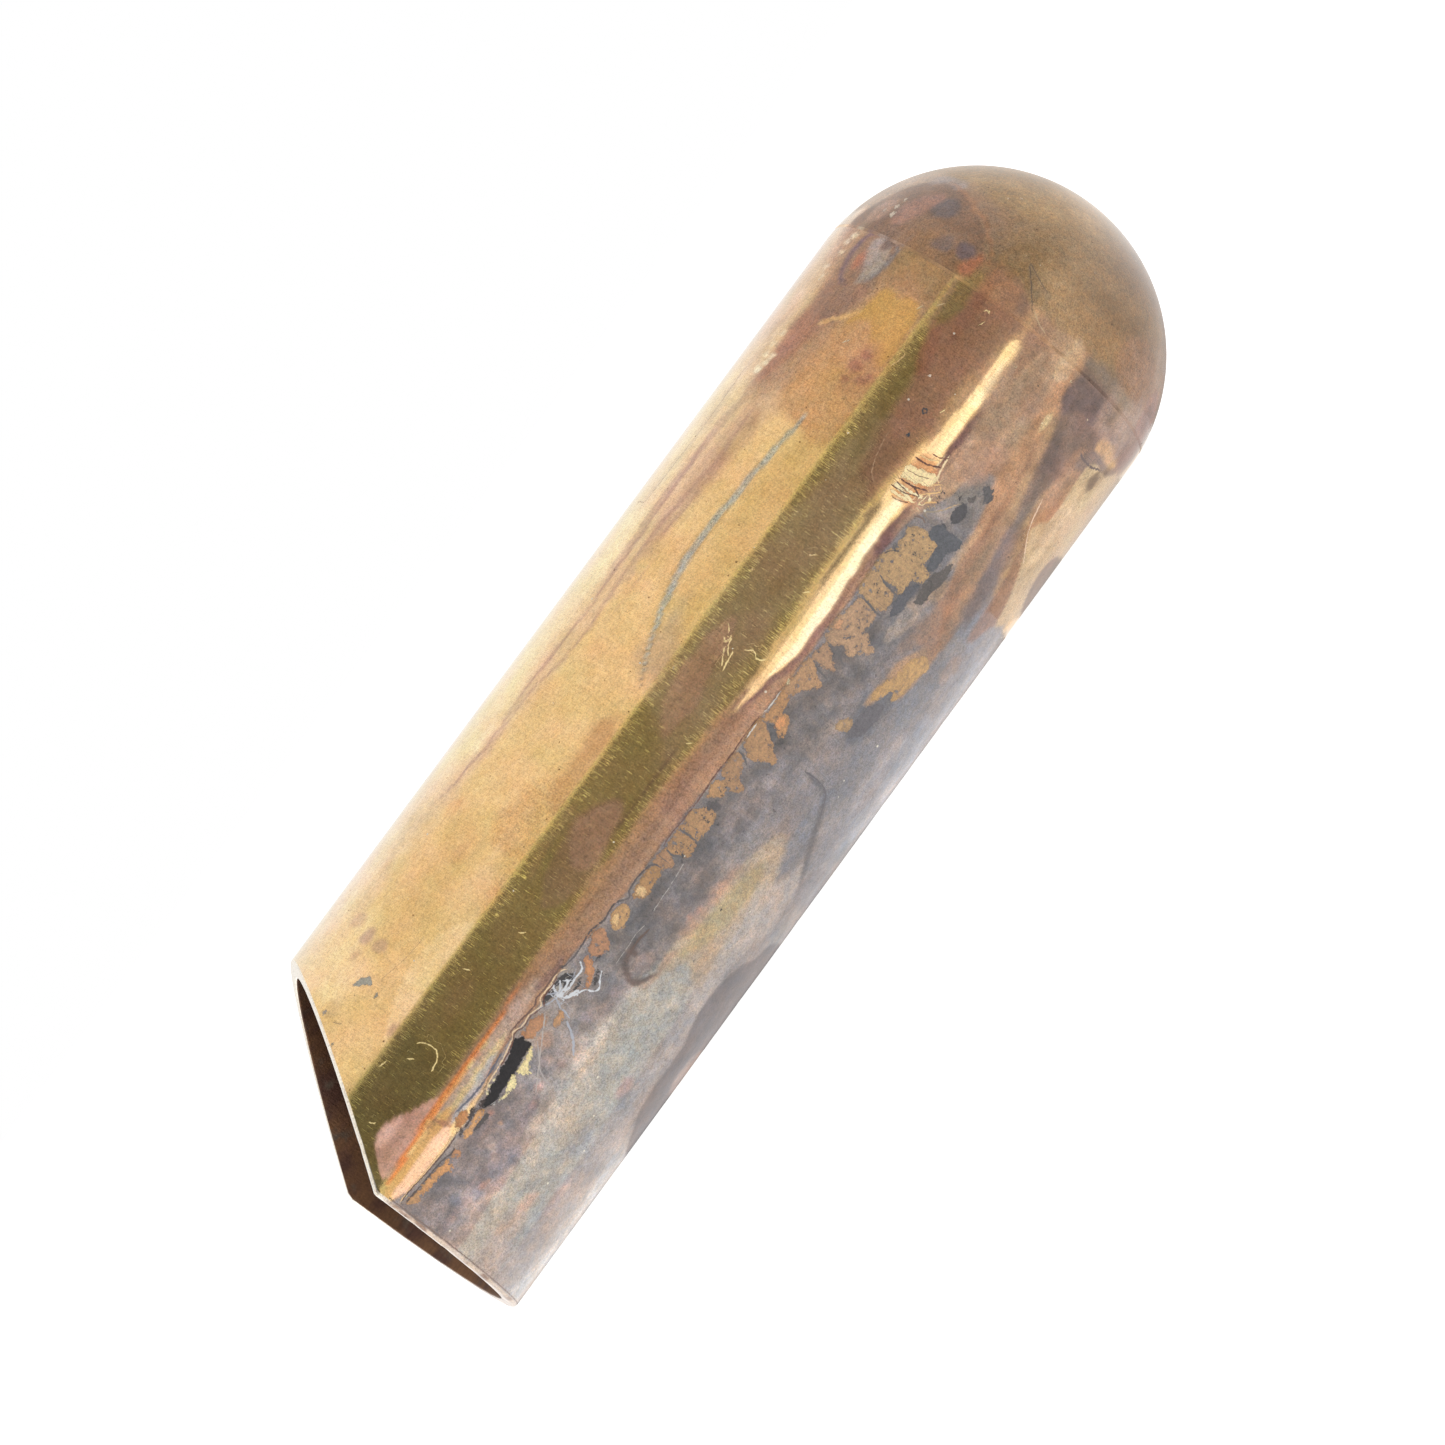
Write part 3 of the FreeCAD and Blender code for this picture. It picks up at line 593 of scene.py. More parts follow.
# ---- crust -----------------------------------------------------------------
S.blob([(-2, 9.2), (1, 8.6), (5, 9.8), (8, 9.2), (10.4, 5.9), (12.4, 6), (14, 6.9), (16.2, 5.8), (20, 7), (24, 8), (30, 8.6), (36, 9), (42, 9.6), (47, 9.4), (49, 12), (50.6, 16), (52.4, 18), (53, 24), (50.4, 28.6), (47, 33), (43.5, 45), (46, 47), (47.4, 54), (47.3, 64), (47.6, 80), (47, 104), (38, 122), (20, 128), (6, 118), (-2, 110)],
       (152, 139, 132), 1.0, 0.09, 0.12, 0.05, rough=0.52, metal=0.12, hair=0.0, brush=0.12, mottle=0.6, grain=0.8, coat=1.0, h=0.012)
for pts, c, op, soft, warp in (
    # mauve and grey by the rim
    ([(-1, 11), (4, 10.5), (9, 11), (10, 17), (9.5, 24), (6, 27), (-1, 26)], (144, 129, 125), 0.9, 0.6, 0.5),
    ([(4, 15), (9, 15), (12, 17), (12, 22), (8, 24), (5, 22)], (163, 152, 149), 0.8, 0.5, 0.4),
    ([(-1, 10.5), (2, 10), (4.4, 11.4), (3.4, 14.6), (0, 15)], (116, 101, 94), 0.7, 0.3, 0.3),
    ([(2.4, 14), (5, 12.6), (8.6, 14.4), (9.4, 18), (8, 22.4), (5, 21), (2.8, 18)], (124, 108, 104), 0.6, 0.45, 0.4),
    ([(5.4, 13.6), (7.6, 14.6), (8, 16.8), (6.6, 17.6), (5.6, 15.8)], (98, 84, 82), 0.6, 0.25, 0.3),
    ([(-1, 27), (3, 26.5), (8, 27), (11, 23), (14, 23), (13.6, 31), (8, 33), (-1, 33)], (186, 162, 150), 0.8, 0.6, 0.5),
    # beige to grey-green area
    ([(-1, 34), (6, 31), (11, 27), (17, 25.5), (20, 29), (21.4, 38), (20, 47), (10, 51), (-1, 50)], (187, 181, 169), 0.9, 0.18, 0.28),
    ([(6.6, 32), (10, 30), (13, 33), (12, 37), (8, 38)], (206, 194, 180), 0.7, 0.6, 0.4),
    ([(8, 25.4), (11, 22.8), (15, 22.8), (16, 27), (13.6, 32), (9, 33), (7.6, 29)], (210, 194, 178), 0.5, 0.3, 0.35),
    ([(9, 36), (15, 33), (20, 34), (21, 43), (16, 47), (10, 45)], (180, 177, 168), 0.6, 0.8, 0.5),
    ([(-1, 40), (3, 40), (4.4, 45), (2, 50), (-1, 50)], (184, 162, 150), 0.7, 0.5, 0.4),
    ([(7.6, 43), (9, 42), (11.2, 44), (10.4, 48), (8.4, 47)], (160, 158, 158), 0.7, 0.3, 0.2),
    ([(5, 51), (7, 50.5), (8, 53.4), (6.4, 56.4), (4.8, 55)], (226, 184, 168), 0.75, 0.3, 0.25),
    ([(12.8, 45), (13.8, 45.4), (14, 49), (13, 50.6), (12.4, 48)], (204, 160, 148), 0.7, 0.2, 0.15),
    ([(4.2, 41.6), (5.4, 41.6), (5.6, 44.4), (4.6, 45)], (208, 176, 160), 0.7, 0.2, 0.15),
    ([(-1, 51), (10, 51), (17, 52), (20, 56), (14, 61), (8, 66), (-1, 66)], (186, 172, 164), 0.7, 0.8, 0.5),
    ([(9, 50), (15, 49), (20, 51), (19, 56), (12, 58)], (170, 162, 157), 0.6, 0.6, 0.5),
    # rust and olive beyond it
    ([(18.6, 31), (21.6, 29), (24, 30.4), (28.6, 34), (30.2, 38), (28.8, 46), (25, 52), (21, 50), (20, 44), (20.6, 37)], (193, 171, 142), 0.9, 0.2, 0.28),
    ([(20.6, 33), (23.2, 32.6), (26, 35), (28.4, 38.4), (26, 41.4), (22.4, 40)], (188, 168, 118), 0.75, 0.28, 0.3),
    ([(21.8, 28.8), (24.6, 28.6), (26.8, 31.6), (25, 33.4), (22.2, 32)], (176, 140, 118), 0.75, 0.35, 0.3),
    ([(20, 47), (27, 46), (30, 52), (28.2, 60), (22.6, 57), (19.4, 54)], (190, 176, 165), 0.85, 0.6, 0.4),
    # dark mottled zone below the flakes
    ([(15.6, 10), (22, 12.6), (30, 14), (40, 17), (47, 20), (52.4, 18), (52.6, 26), (48, 30), (42, 32.4), (36, 30.4), (30, 28), (24, 28.6), (20.4, 27), (17.4, 20)], (128, 118, 114), 0.9, 0.6, 0.6),
    ([(20.6, 14), (25, 15), (29, 18), (27, 24), (23.2, 25.6), (20.8, 21)], (112, 102, 100), 0.7, 0.4, 0.4),
    ([(32, 19), (36, 19), (40, 22), (46, 21.4), (50.6, 21), (51, 26), (46, 29), (38, 28.5), (33, 26)], (112, 106, 106), 0.7, 0.4, 0.5),
    ([(27, 19), (30, 17), (33.6, 20), (33.4, 28), (30.6, 32), (28, 28)], (146, 132, 128), 0.6, 0.5, 0.5),
    ([(14, 22), (18, 19), (20.6, 21.6), (20.4, 27), (17, 28.4)], (152, 134, 126), 0.7, 0.5, 0.4),
    ([(30.6, 28), (36, 30), (44, 32), (47, 36), (42, 45), (38, 48), (31, 44), (29.6, 36)], (144, 132, 129), 0.85, 0.7, 0.5),
    ([(28.6, 43.5), (31.4, 40), (32.4, 44), (30.8, 50), (29, 52.4), (27.8, 48)], (128, 128, 134), 0.8, 0.35, 0.25),
    # dark blue-grey around the gold patch
    ([(36.6, 33.4), (39, 33), (41, 38.6), (40, 42.6), (38, 43), (36.4, 39)], (98, 95, 98), 0.85, 0.25, 0.3),
    ([(33.4, 43), (38.8, 42.6), (43.2, 46), (46.6, 44), (49, 42), (48.6, 48.6), (46, 54), (42, 56.6), (36, 55), (33, 50)], (132, 128, 130), 0.85, 0.6, 0.4),
    ([(30, 54), (36, 56), (42, 58), (46, 55), (48, 60), (48, 72), (38, 76), (29.6, 74)], (152, 147, 150), 0.8, 0.8, 0.5),
    ([(43.6, 48), (47, 47), (48.4, 51), (46.6, 56), (43.4, 55)], (152, 150, 154), 0.7, 0.4, 0.4),
    ([(33.6, 56), (36, 53.4), (38.6, 55), (38, 61), (35, 65), (33.4, 61)], (176, 162, 158), 0.6, 0.5, 0.4),
):
    S.blob(pts, c, op, soft, warp, 0.12)
# pink-brown and gold sweep across the far end of the crust
for pts, c, op, soft, warp in (
    ([(38.6, 34.4), (40, 34), (42, 36), (43.2, 39.4), (44.2, 43), (43.4, 46), (41.4, 45), (40, 43.6), (40.6, 40), (39.4, 37)], (196, 150, 104), 0.9, 0.14, 0.22),
    ([(43.4, 35), (46, 33), (50, 28.6), (53.6, 25), (60, 21), (61, 24.6), (56.6, 29), (50, 36), (46, 40.8), (43.4, 45), (43.2, 41)], (170, 126, 94), 0.9, 0.35, 0.3),
    ([(42.8, 31.4), (45, 33), (48, 32), (47.4, 36.6), (44.6, 38.4), (42.4, 35)], (158, 124, 98), 0.6, 0.3, 0.3),
    ([(47, 35), (49, 34), (51, 36.6), (49.4, 40), (47.4, 39.4)], (134, 110, 84), 0.65, 0.3, 0.25),
    ([(42.2, 25.6), (44.4, 25), (45.2, 28), (44.4, 31), (42.6, 29)], (182, 160, 142), 0.75, 0.14, 0.2),
    ([(45.4, 29.6), (46.6, 29.4), (47, 32), (45.8, 33.4)], (190, 158, 122), 0.7, 0.12, 0.15),
    ([(47.4, 27.8), (50, 28.6), (51.4, 30.6), (49.6, 31.6), (47.6, 30.6)], (204, 164, 122), 0.7, 0.2, 0.2),
    ([(52.6, 10.6), (56, 11), (56.6, 17), (54.8, 23), (52.8, 21), (51.4, 14)], (190, 150, 122), 0.75, 0.4, 0.3),
    ([(54.8, 11.4), (59, 11.6), (60.4, 14), (59, 18), (56, 17.6), (54.8, 15)], (150, 122, 96), 0.6, 0.35, 0.3),
    ([(55, 19.6), (58, 18), (59.8, 19), (57.6, 22.4), (55.4, 22.4)], (150, 124, 102), 0.6, 0.2, 0.2),
    ([(52.4, 25.6), (57, 23), (60.8, 20.6), (61.2, 23.6), (58, 27), (54, 29.6), (50.6, 31)], (198, 152, 112), 0.7, 0.2, 0.2),
    ([(56.8, 26), (57.8, 25.7), (57.9, 27), (57, 27.2)], (226, 196, 150), 0.8, 0.06, 0.04),
    ([(59.6, 19.4), (61.4, 17.6), (61.4, 22.4), (60.2, 23.4)], (206, 176, 138), 0.7, 0.12, 0.1),
    # dark purple below it
    ([(48.6, 40.4), (51, 37.8), (54, 37), (54.4, 40.6), (52, 43.6), (48.8, 47.6), (45.6, 49.4), (46.6, 45)], (122, 108, 108), 0.85, 0.22, 0.2),
    ([(52.6, 36.6), (56, 32.6), (58.6, 28.4), (60.8, 25.6), (62, 29), (61, 46), (59.4, 53), (57.4, 46.8), (54.8, 42.6), (53.6, 40)], (124, 98, 88), 0.9, 0.25, 0.2),
    ([(58.6, 28.6), (60.6, 26), (60.9, 34), (60.6, 42), (59.2, 41), (59.4, 34)], (98, 78, 76), 0.7, 0.15, 0.15),
    ([(55.2, 35), (57.2, 31.6), (57.6, 34), (56, 38), (54.4, 38.4)], (96, 80, 76), 0.6, 0.2, 0.15),
    ([(45.4, 53.6), (49, 50.4), (52, 47), (53, 45.8), (52.6, 50), (50, 56), (47.6, 63), (46.8, 60)], (154, 116, 98), 0.85, 0.16, 0.14),
    ([(52.6, 43), (56, 42), (58, 44), (57.8, 51.6), (54.6, 52.6), (52.4, 48)], (176, 134, 108), 0.85, 0.2, 0.15),
    ([(58.4, 49), (59.2, 48.6), (59.4, 54), (59, 60), (58.2, 60), (58.5, 54)], (214, 172, 124), 0.85, 0.12, 0.1),
    ([(56.8, 46.4), (58.2, 46.4), (58.5, 60), (58.8, 68), (57.6, 68), (57.3, 56)], (126, 104, 98), 0.8, 0.14, 0.1),
    ([(59.2, 42), (62, 42), (62, 74), (59.6, 76), (58.8, 66), (59.4, 54)], (166, 138, 124), 0.85, 0.3, 0.2),
    ([(59.4, 62), (62, 60), (62, 76), (59, 76), (58.6, 70)], (146, 112, 100), 0.8, 0.3, 0.2),
    ([(42.8, 53), (43.8, 52.4), (44.4, 56), (43.8, 59.6), (42.6, 57)], (178, 148, 128), 0.7, 0.2, 0.15),
    ([(46.4, 42.6), (48.6, 41.4), (49, 47.6), (47.2, 50.6), (46, 47)], (130, 112, 106), 0.65, 0.3, 0.25),
    ([(49.8, 42), (52.2, 41), (52.6, 46), (51.6, 51), (49.6, 49)], (154, 122, 102), 0.7, 0.3, 0.25),
):
    S.blob(pts, c, op, soft, warp, 0.08)

# bare patch, polished again, with its two dark spots
BARE = [(47.2, 63.4), (48.6, 60), (50.2, 55), (51.6, 49.4), (52.3, 46.6), (53.2, 48.4), (53.6, 51.6), (55.6, 51.2), (57.4, 50.6), (57.9, 55), (57.8, 62), (58.6, 70), (59, 84), (58, 98), (51.6, 104), (49.4, 90), (48.6, 76)]
S.blob(BARE, (206, 178, 140), 0.97, 0.09, 0.08, 0.03, rough=0.28, metal=0.85, brush=0.3, mottle=0.3, grain=0.2, coat=0.6, h=-0.012)
S.blob([(56.5, 58.2), (56.8, 56.2), (57.3, 56), (57.8, 57.8), (57.6, 60), (57.1, 61), (56.6, 60.2)], (146, 118, 92), 0.9, 0.07, 0.03, rough=0.4)
S.blob([(49.2, 76), (49.8, 70.6), (50.8, 67.4), (51.8, 67), (52.6, 69.4), (53, 75), (53.2, 90), (52.4, 104), (50, 104), (49.2, 90)], (150, 126, 112), 0.92, 0.12, 0.06, rough=0.4, metal=0.5)
# towards the underside edge, near the open end and at mid length, painted paler grey: painted sheen of the grazing
# reflection
S.set(slice(None), smooth(S.th, 58, 76) * smooth(-S.u, -13, -9) * smooth(-S.th, -130, -105) * 0.6, (228, 222, 216))
S.set(slice(None), smooth(S.th, 62, 80) * smooth(S.u, 31, 35) * smooth(-S.u, -47, -44) * smooth(-S.th, -130, -105) * 0.4, (196, 192, 194))
# dark patch on the underside
S.blob([(10.8, 90), (10.9, 76), (11.8, 67.4), (12.9, 62), (14.6, 60.4), (17, 60.4), (18.2, 57.6), (20, 55.4), (21.6, 55.8), (22.8, 59.4), (23.6, 64.4), (25, 69), (25.4, 80), (24.6, 96), (18, 106), (12.6, 102)], (116, 104, 102), 0.95, 0.14, 0.14, 0.04, mottle=0.35, coat=0.8)
S.blob([(15, 76), (16.2, 71), (17.6, 74), (17.8, 86), (16.6, 98), (15.2, 92)], (178, 152, 138), 0.7, 0.3, 0.15)
# dark vein and wedge
S.stroke([(33.2, 31), (33.4, 36), (33.2, 42), (32, 46.4), (31, 49.6), (30, 53), (29, 57.6), (28.4, 62)], [0.12, 0.2, 0.24, 0.2, 0.22, 0.26, 0.22, 0.3], (92, 86, 88), 0.85, soft=0.12, warp=0.14)
S.blob([(28, 60), (29.4, 60.6), (30.2, 66), (30.2, 80), (29.4, 92), (28.2, 84), (27.6, 70)], (134, 124, 124), 0.85, 0.16, 0.1)
# the hooked brown mark
S.stroke([(20.9, 19.8), (20, 19.2), (19.2, 19.4), (18.5, 20.6), (18.2, 23), (18.1, 25.4), (18.4, 28.2), (19.4, 31)], [0.07, 0.13, 0.16, 0.18, 0.2, 0.2, 0.18, 0.08], (96, 70, 58), 0.9, soft=0.08, warp=0.06)
S.blob([(18.6, 23), (19.4, 22), (20, 25), (19.4, 28.4), (18.8, 27)], (176, 150, 138), 0.7, 0.15, 0.1)

# lilac fringe and grey-blue stains where the mauve zone hangs down
S.blob([(0, 23), (1, 25), (3, 26), (3.9, 28.8), (4.5, 31.6), (5.1, 31), (5.4, 28.8), (5.9, 30.2), (6.7, 30.4), (7.1, 27.8), (8, 25.8), (9.4, 25.2), (9.4, 22), (4, 22)], (162, 140, 136), 0.8, 0.12, 0.12, 0.06)
for a, b, r_ in ((3.4, 26, .42), (4.9, 27, .4), (6.2, 28.8, .45), (2.4, 21, .5), (7.6, 21.6, .35)):
    S.blob([(a - r_, b), (a, b - r_ * 4.4), (a + r_, b), (a, b + r_ * 4.4)], (128, 126, 134), 0.6, 0.2, 0.12)
for a, b, r_, c in ((4.0, 25.6, .22, (206, 152, 130)), (4.4, 26.4, .12, (210, 160, 130)), (7.35, 18.5, .15, (212, 160, 120)), (7.45, 14.2, .2, (176, 120, 98)), (1.5, 24.6, .2, (180, 150, 140)),
                    (10.2, 21.4, .3, (204, 160, 150)), (9.2, 23.4, .3, (204, 164, 156)), (12, 23, .3, (186, 150, 138)), (15, 20.5, .4, (176, 152, 148)), (11.6, 18.4, .4, (190, 162, 152)),
                    (17, 23, .4, (176, 148, 142)), (12.4, 14.4, .5, (170, 132, 106)), (13.2, 9.6, .5, (150, 118, 98)), (22.9, 28.4, .2, (196, 150, 132)), (23.5, 29.6, .22, (196, 150, 132)),
                    (27.9, 20.6, .12, (176, 160, 142)), (29.6, 22.6, .09, (196, 184, 178)), (28.4, 15.6, .07, (226, 220, 206)), (37.2, 38.5, .16, (196, 132, 118)), (37, 32.4, .15, (186, 164, 140))):
    S.blob([(a - r_, b), (a, b - r_ * 4.4), (a + r_, b), (a, b + r_ * 4.4)], c, 0.65, max(0.05, r_ * .4), r_ * .3)
S.blob([(18.2, 28), (19, 30), (20.2, 29.4), (21, 31.6), (19.6, 32.4), (18.2, 31)], (176, 146, 124), 0.6, 0.15, 0.15)
# hook's dark lump, the dark seam under the flakes
S.blob([(19.2, 19.4), (19.7, 19.8), (19.6, 21.6), (19.4, 22.6), (19.2, 21.4)], (92, 62, 46), 0.85, 0.09, 0.06)
S.stroke([(22.7, 19.6), (23, 22.4), (23.5, 25.2), (24.2, 28.4), (24.8, 31.4)], [0.1, 0.22, 0.2, 0.14, 0.06], (98, 90, 92), 0.7, soft=0.16, warp=0.15)
S.stroke([(26.8, 22), (27.4, 24.4), (27.6, 27)], [0.05, 0.2, 0.06], (108, 98, 96), 0.5, soft=0.15, warp=0.15)
S.stroke([(28, 25.2), (30, 24), (32, 26), (33.2, 28.8)], [0.06, 0.3, 0.3, 0.08], (160, 140, 132), 0.5, soft=0.25, warp=0.2)
S.blob([(20, 8.2), (26, 9), (34, 9.2), (43, 9.8), (48.4, 10), (48.6, 20.6), (43, 22), (36, 20), (30, 18.4), (22, 17), (18.6, 13.4), (17, 9)], (106, 97, 94), 0.8, 0.25, 0.25, 0.12, rough=0.56)

# speckle of black pits and brown crumbs that the material breaks up
zone = smooth(S.th + S.w1, 9, 12) * smooth(-S.th + 1.5 * S.w1, -30, -19) * smooth(S.u + S.w1, 12, 18) * smooth(-S.u, -54, -50.5)
d_, c_ = S.crisp["dark"]
d_[:] = np.where(zone > 0.02, -0.27 + 0.17 * zone + 0.06 * S.w2, -1)
c_[:] = srgb(60, 56, 58)
zone2 = smooth(S.th + S.w1, 8.5, 10) * smooth(-S.th + S.w1, -17, -13) * smooth(S.u, 0, 2) * smooth(-S.u, -50, -47)
d_, c_ = S.crisp["flake"]
d_[:] = np.where(zone2 > 0.02, -0.30 + 0.15 * zone2 + 0.05 * S.w2, -1)
c_[:] = srgb(178, 134, 92)

# ---- gold-brown flakes of the old crust ------------------------------------
FL = [
    ((222, 158, 92), [(1.45, 10.7), (2.0, 10.9), (2.6, 11.0), (3.0, 11.2), (3.4, 11.5), (3.86, 12.2), (3.82, 13.4), (3.7, 14.9), (3.48, 14), (3.1, 13.2), (2.7, 12.9), (2.2, 12.4), (1.7, 11.9)]),
    ((206, 152, 96), [(0.75, 10.0), (1.3, 10.2), (1.35, 11.8), (1.1, 12.4), (0.85, 11.6)]),
    ((200, 140, 90), [(4.28, 12.2), (4.6, 12.6), (4.62, 13.8), (4.34, 13.6)]),
    ((222, 162, 98), [(5.5, 12.4), (5.8, 11.2), (6.3, 11.5), (6.6, 11.1), (7.22, 11.4), (7.25, 12.3), (6.6, 12.7), (6.0, 12.4), (5.7, 12.9)]),
    ((204, 142, 88), [(5.66, 8.9), (5.96, 7.4), (6.36, 6.9), (6.62, 7.9), (6.52, 9.3), (6.2, 9.5), (5.9, 9.2)]),
    ((194, 136, 90), [(12, 7.4), (12.2, 8.3), (12.6, 7.4), (13, 7.8), (13.4, 9), (13.44, 10.6), (13, 11.3), (12.4, 11.1), (11.98, 10.3)]),
    ((200, 148, 98), [(13.4, 14.3), (13.7, 13.3), (14.3, 13.1), (14.2, 14.3), (13.8, 15)]),
    ((202, 138, 86), [(16.9, 12), (17.15, 10.6), (17.5, 9.6), (17.5, 11.4), (17.3, 13.2), (16.9, 14.4), (16.3, 15.3), (16.1, 14.7), (16.7, 13.5)]),
    ((188, 134, 92), [(17.9, 9.4), (18.3, 8.1), (18.8, 7.5), (19.35, 8), (19.35, 9.4), (19, 10.8), (18.95, 12.5), (18.6, 13.4), (18.3, 12.7), (17.95, 11)]),
    ((206, 158, 100), [(19.8, 10.8), (19.9, 9.4), (20.3, 8.3), (20.75, 8.5), (21.15, 9.4), (21.15, 10.9), (20.8, 12), (20.3, 12.9), (19.9, 12.2)]),
    ((186, 138, 82), [(21.98, 9.8), (22.4, 8.8), (22.9, 8.9), (23.4, 8.8), (23.85, 9.6), (23.95, 11.4), (23.6, 12.7), (23, 12.8), (22.5, 13), (22.1, 12.4), (21.95, 11)]),
    ((180, 134, 92), [(24.1, 8.9), (24.5, 9.1), (25, 8.9), (24.92, 10.8), (24.8, 12.2), (24.62, 13.9), (24.3, 14), (24.15, 12.6), (24.05, 11)]),
    ((184, 138, 88), [(25.15, 9.8), (25.6, 8.9), (26, 9.5), (26.3, 8.9), (26.4, 11), (26.3, 13.4), (26.35, 15.6), (26.1, 15.9), (25.8, 16.5), (25.4, 15.8), (25.5, 14.4), (25.2, 13), (25.1, 11.2)]),
    ((188, 142, 92), [(26.55, 9.4), (26.9, 10), (27.1, 9.1), (27.7, 9.3), (27.95, 10.4), (28.1, 11.6), (28.4, 13), (28.3, 14.6), (28.1, 15.9), (27.4, 16.1), (26.8, 16.3), (26.55, 14.6), (26.6, 12)]),
    ((192, 144, 92), [(28.85, 10.2), (29.3, 9.5), (29.6, 9.2), (29.85, 10.2), (30.02, 12), (29.8, 12.9), (29.5, 13.8), (29.2, 12.8), (28.95, 11.5)]),
    ((180, 136, 92), [(29.9, 13), (30.2, 11.4), (30.4, 9.7), (30.8, 9.5), (31.3, 9), (31.75, 9.4), (31.8, 11.4), (31.4, 12.9), (31.1, 13.7), (30.7, 14.8), (30.5, 17), (30.3, 18), (30.1, 16.5), (29.92, 14.7)]),
    ((188, 141, 92), [(32.05, 13.2), (32.2, 11.8), (32.5, 9.9), (33, 9.2), (33.5, 9.0), (33.98, 8.8), (34.02, 10.5), (33.85, 12.4), (33.7, 14.5), (33.4, 16.5), (33.05, 18.2), (32.82, 20.6), (32.58, 20.8), (32.4, 18.5), (32.25, 16.4), (32, 15)]),
    ((192, 140, 86), [(34.15, 9.4), (34.5, 10.1), (35.2, 9.9), (36.05, 9.6), (36.15, 11.4), (35.8, 12.7), (35.4, 13.1), (35.05, 13.5), (35.2, 14.7), (35.1, 16.1), (34.6, 17.5), (34.1, 18), (34, 16.5), (34.3, 15), (34.42, 13), (34.25, 11.4)]),
    ((194, 148, 102), [(36.3, 10), (36.8, 9.6), (37.4, 10.2), (38.25, 10), (38.5, 11.6), (38.42, 12.9), (38.1, 14.1), (37.9, 16.1), (37.7, 18.2), (37.4, 17.1), (37, 15.5), (36.8, 13.9), (36.3, 12.7)]),
    ((178, 138, 102), [(38.65, 10.4), (39.2, 10.9), (39.6, 12), (39.52, 14.4), (39.3, 15.5), (39.1, 17.5), (38.8, 18.6), (38.64, 16.4), (38.6, 13.6)]),
    ((190, 150, 112), [(39.92, 11.3), (40.6, 10), (41.2, 9.8), (41.8, 10.8), (42.4, 11.4), (42.88, 11.8), (42.95, 14), (42.84, 16), (42.72, 18.5), (42.4, 19.1), (41.8, 18.7), (41.35, 18.7), (41.6, 20.6), (41.25, 22.5), (41.12, 25.2), (40.8, 24.5), (40.6, 22), (40.2, 20.7), (40.08, 18.8), (40.4, 16.4), (40, 14.4), (39.9, 13)]),
    ((190, 150, 102), [(43.15, 12), (43.3, 10.2), (43.8, 9.8), (44.55, 9.8), (44.62, 12), (44.5, 14.6), (44.28, 16), (44.28, 18.4), (44.18, 19.7), (43.6, 20.2), (43.2, 20), (43.12, 17.6), (43.1, 15)]),
    ((192, 153, 102), [(44.84, 11.6), (44.9, 10), (45.4, 9.3), (46, 9.8), (46.3, 11.4), (46.5, 13.6), (46.7, 11.6), (47.2, 11.8), (47.95, 11.2), (48.05, 13), (48.15, 15.4), (48.2, 18), (48.05, 20.7), (47.9, 21.8), (47.2, 21.5), (46.65, 21.7), (46.65, 23.5), (46.5, 24.8), (46.1, 24.8), (45.8, 23.9), (45.6, 21.6), (45.2, 21), (44.9, 21.8), (44.6, 21.6), (44.72, 18.4), (44.66, 16), (44.74, 13.4)]),
    ((196, 152, 92), [(39.0, 34.4), (40.2, 34.8), (40.6, 36.6), (41.8, 37.6), (42.5, 39.6), (42.8, 42), (42.6, 46.4), (41.6, 44.2), (40.4, 43.6), (39.7, 41.4), (40.3, 39.4), (39.3, 37)]),
    ((178, 142, 98), [(36.4, 30.8), (36.9, 30.6), (37.3, 33.6), (36.9, 35)]),
]
for c, pts in FL:
    c = tuple(0.93 * v for v in c)
    S.patch("flake", pts, c, 0.05, shift=0.07, h=0.016)
for pts, c in (([(22.0, 10), (22.3, 9.3), (22.62, 10.6), (22.6, 12.4), (22.2, 12.4)], (222, 182, 126)), ([(19.9, 9.8), (20.3, 8.6), (20.5, 10), (20.1, 11.6)], (226, 184, 124)),
               ([(34.3, 13.8), (34.9, 13.9), (35, 15.4), (34.5, 16.4)], (214, 146, 88)), ([(40.6, 10.4), (41.2, 10.4), (41.3, 12), (40.8, 12.6)], (204, 150, 106))):
    S.patch("pale", pts, c, 0.04)

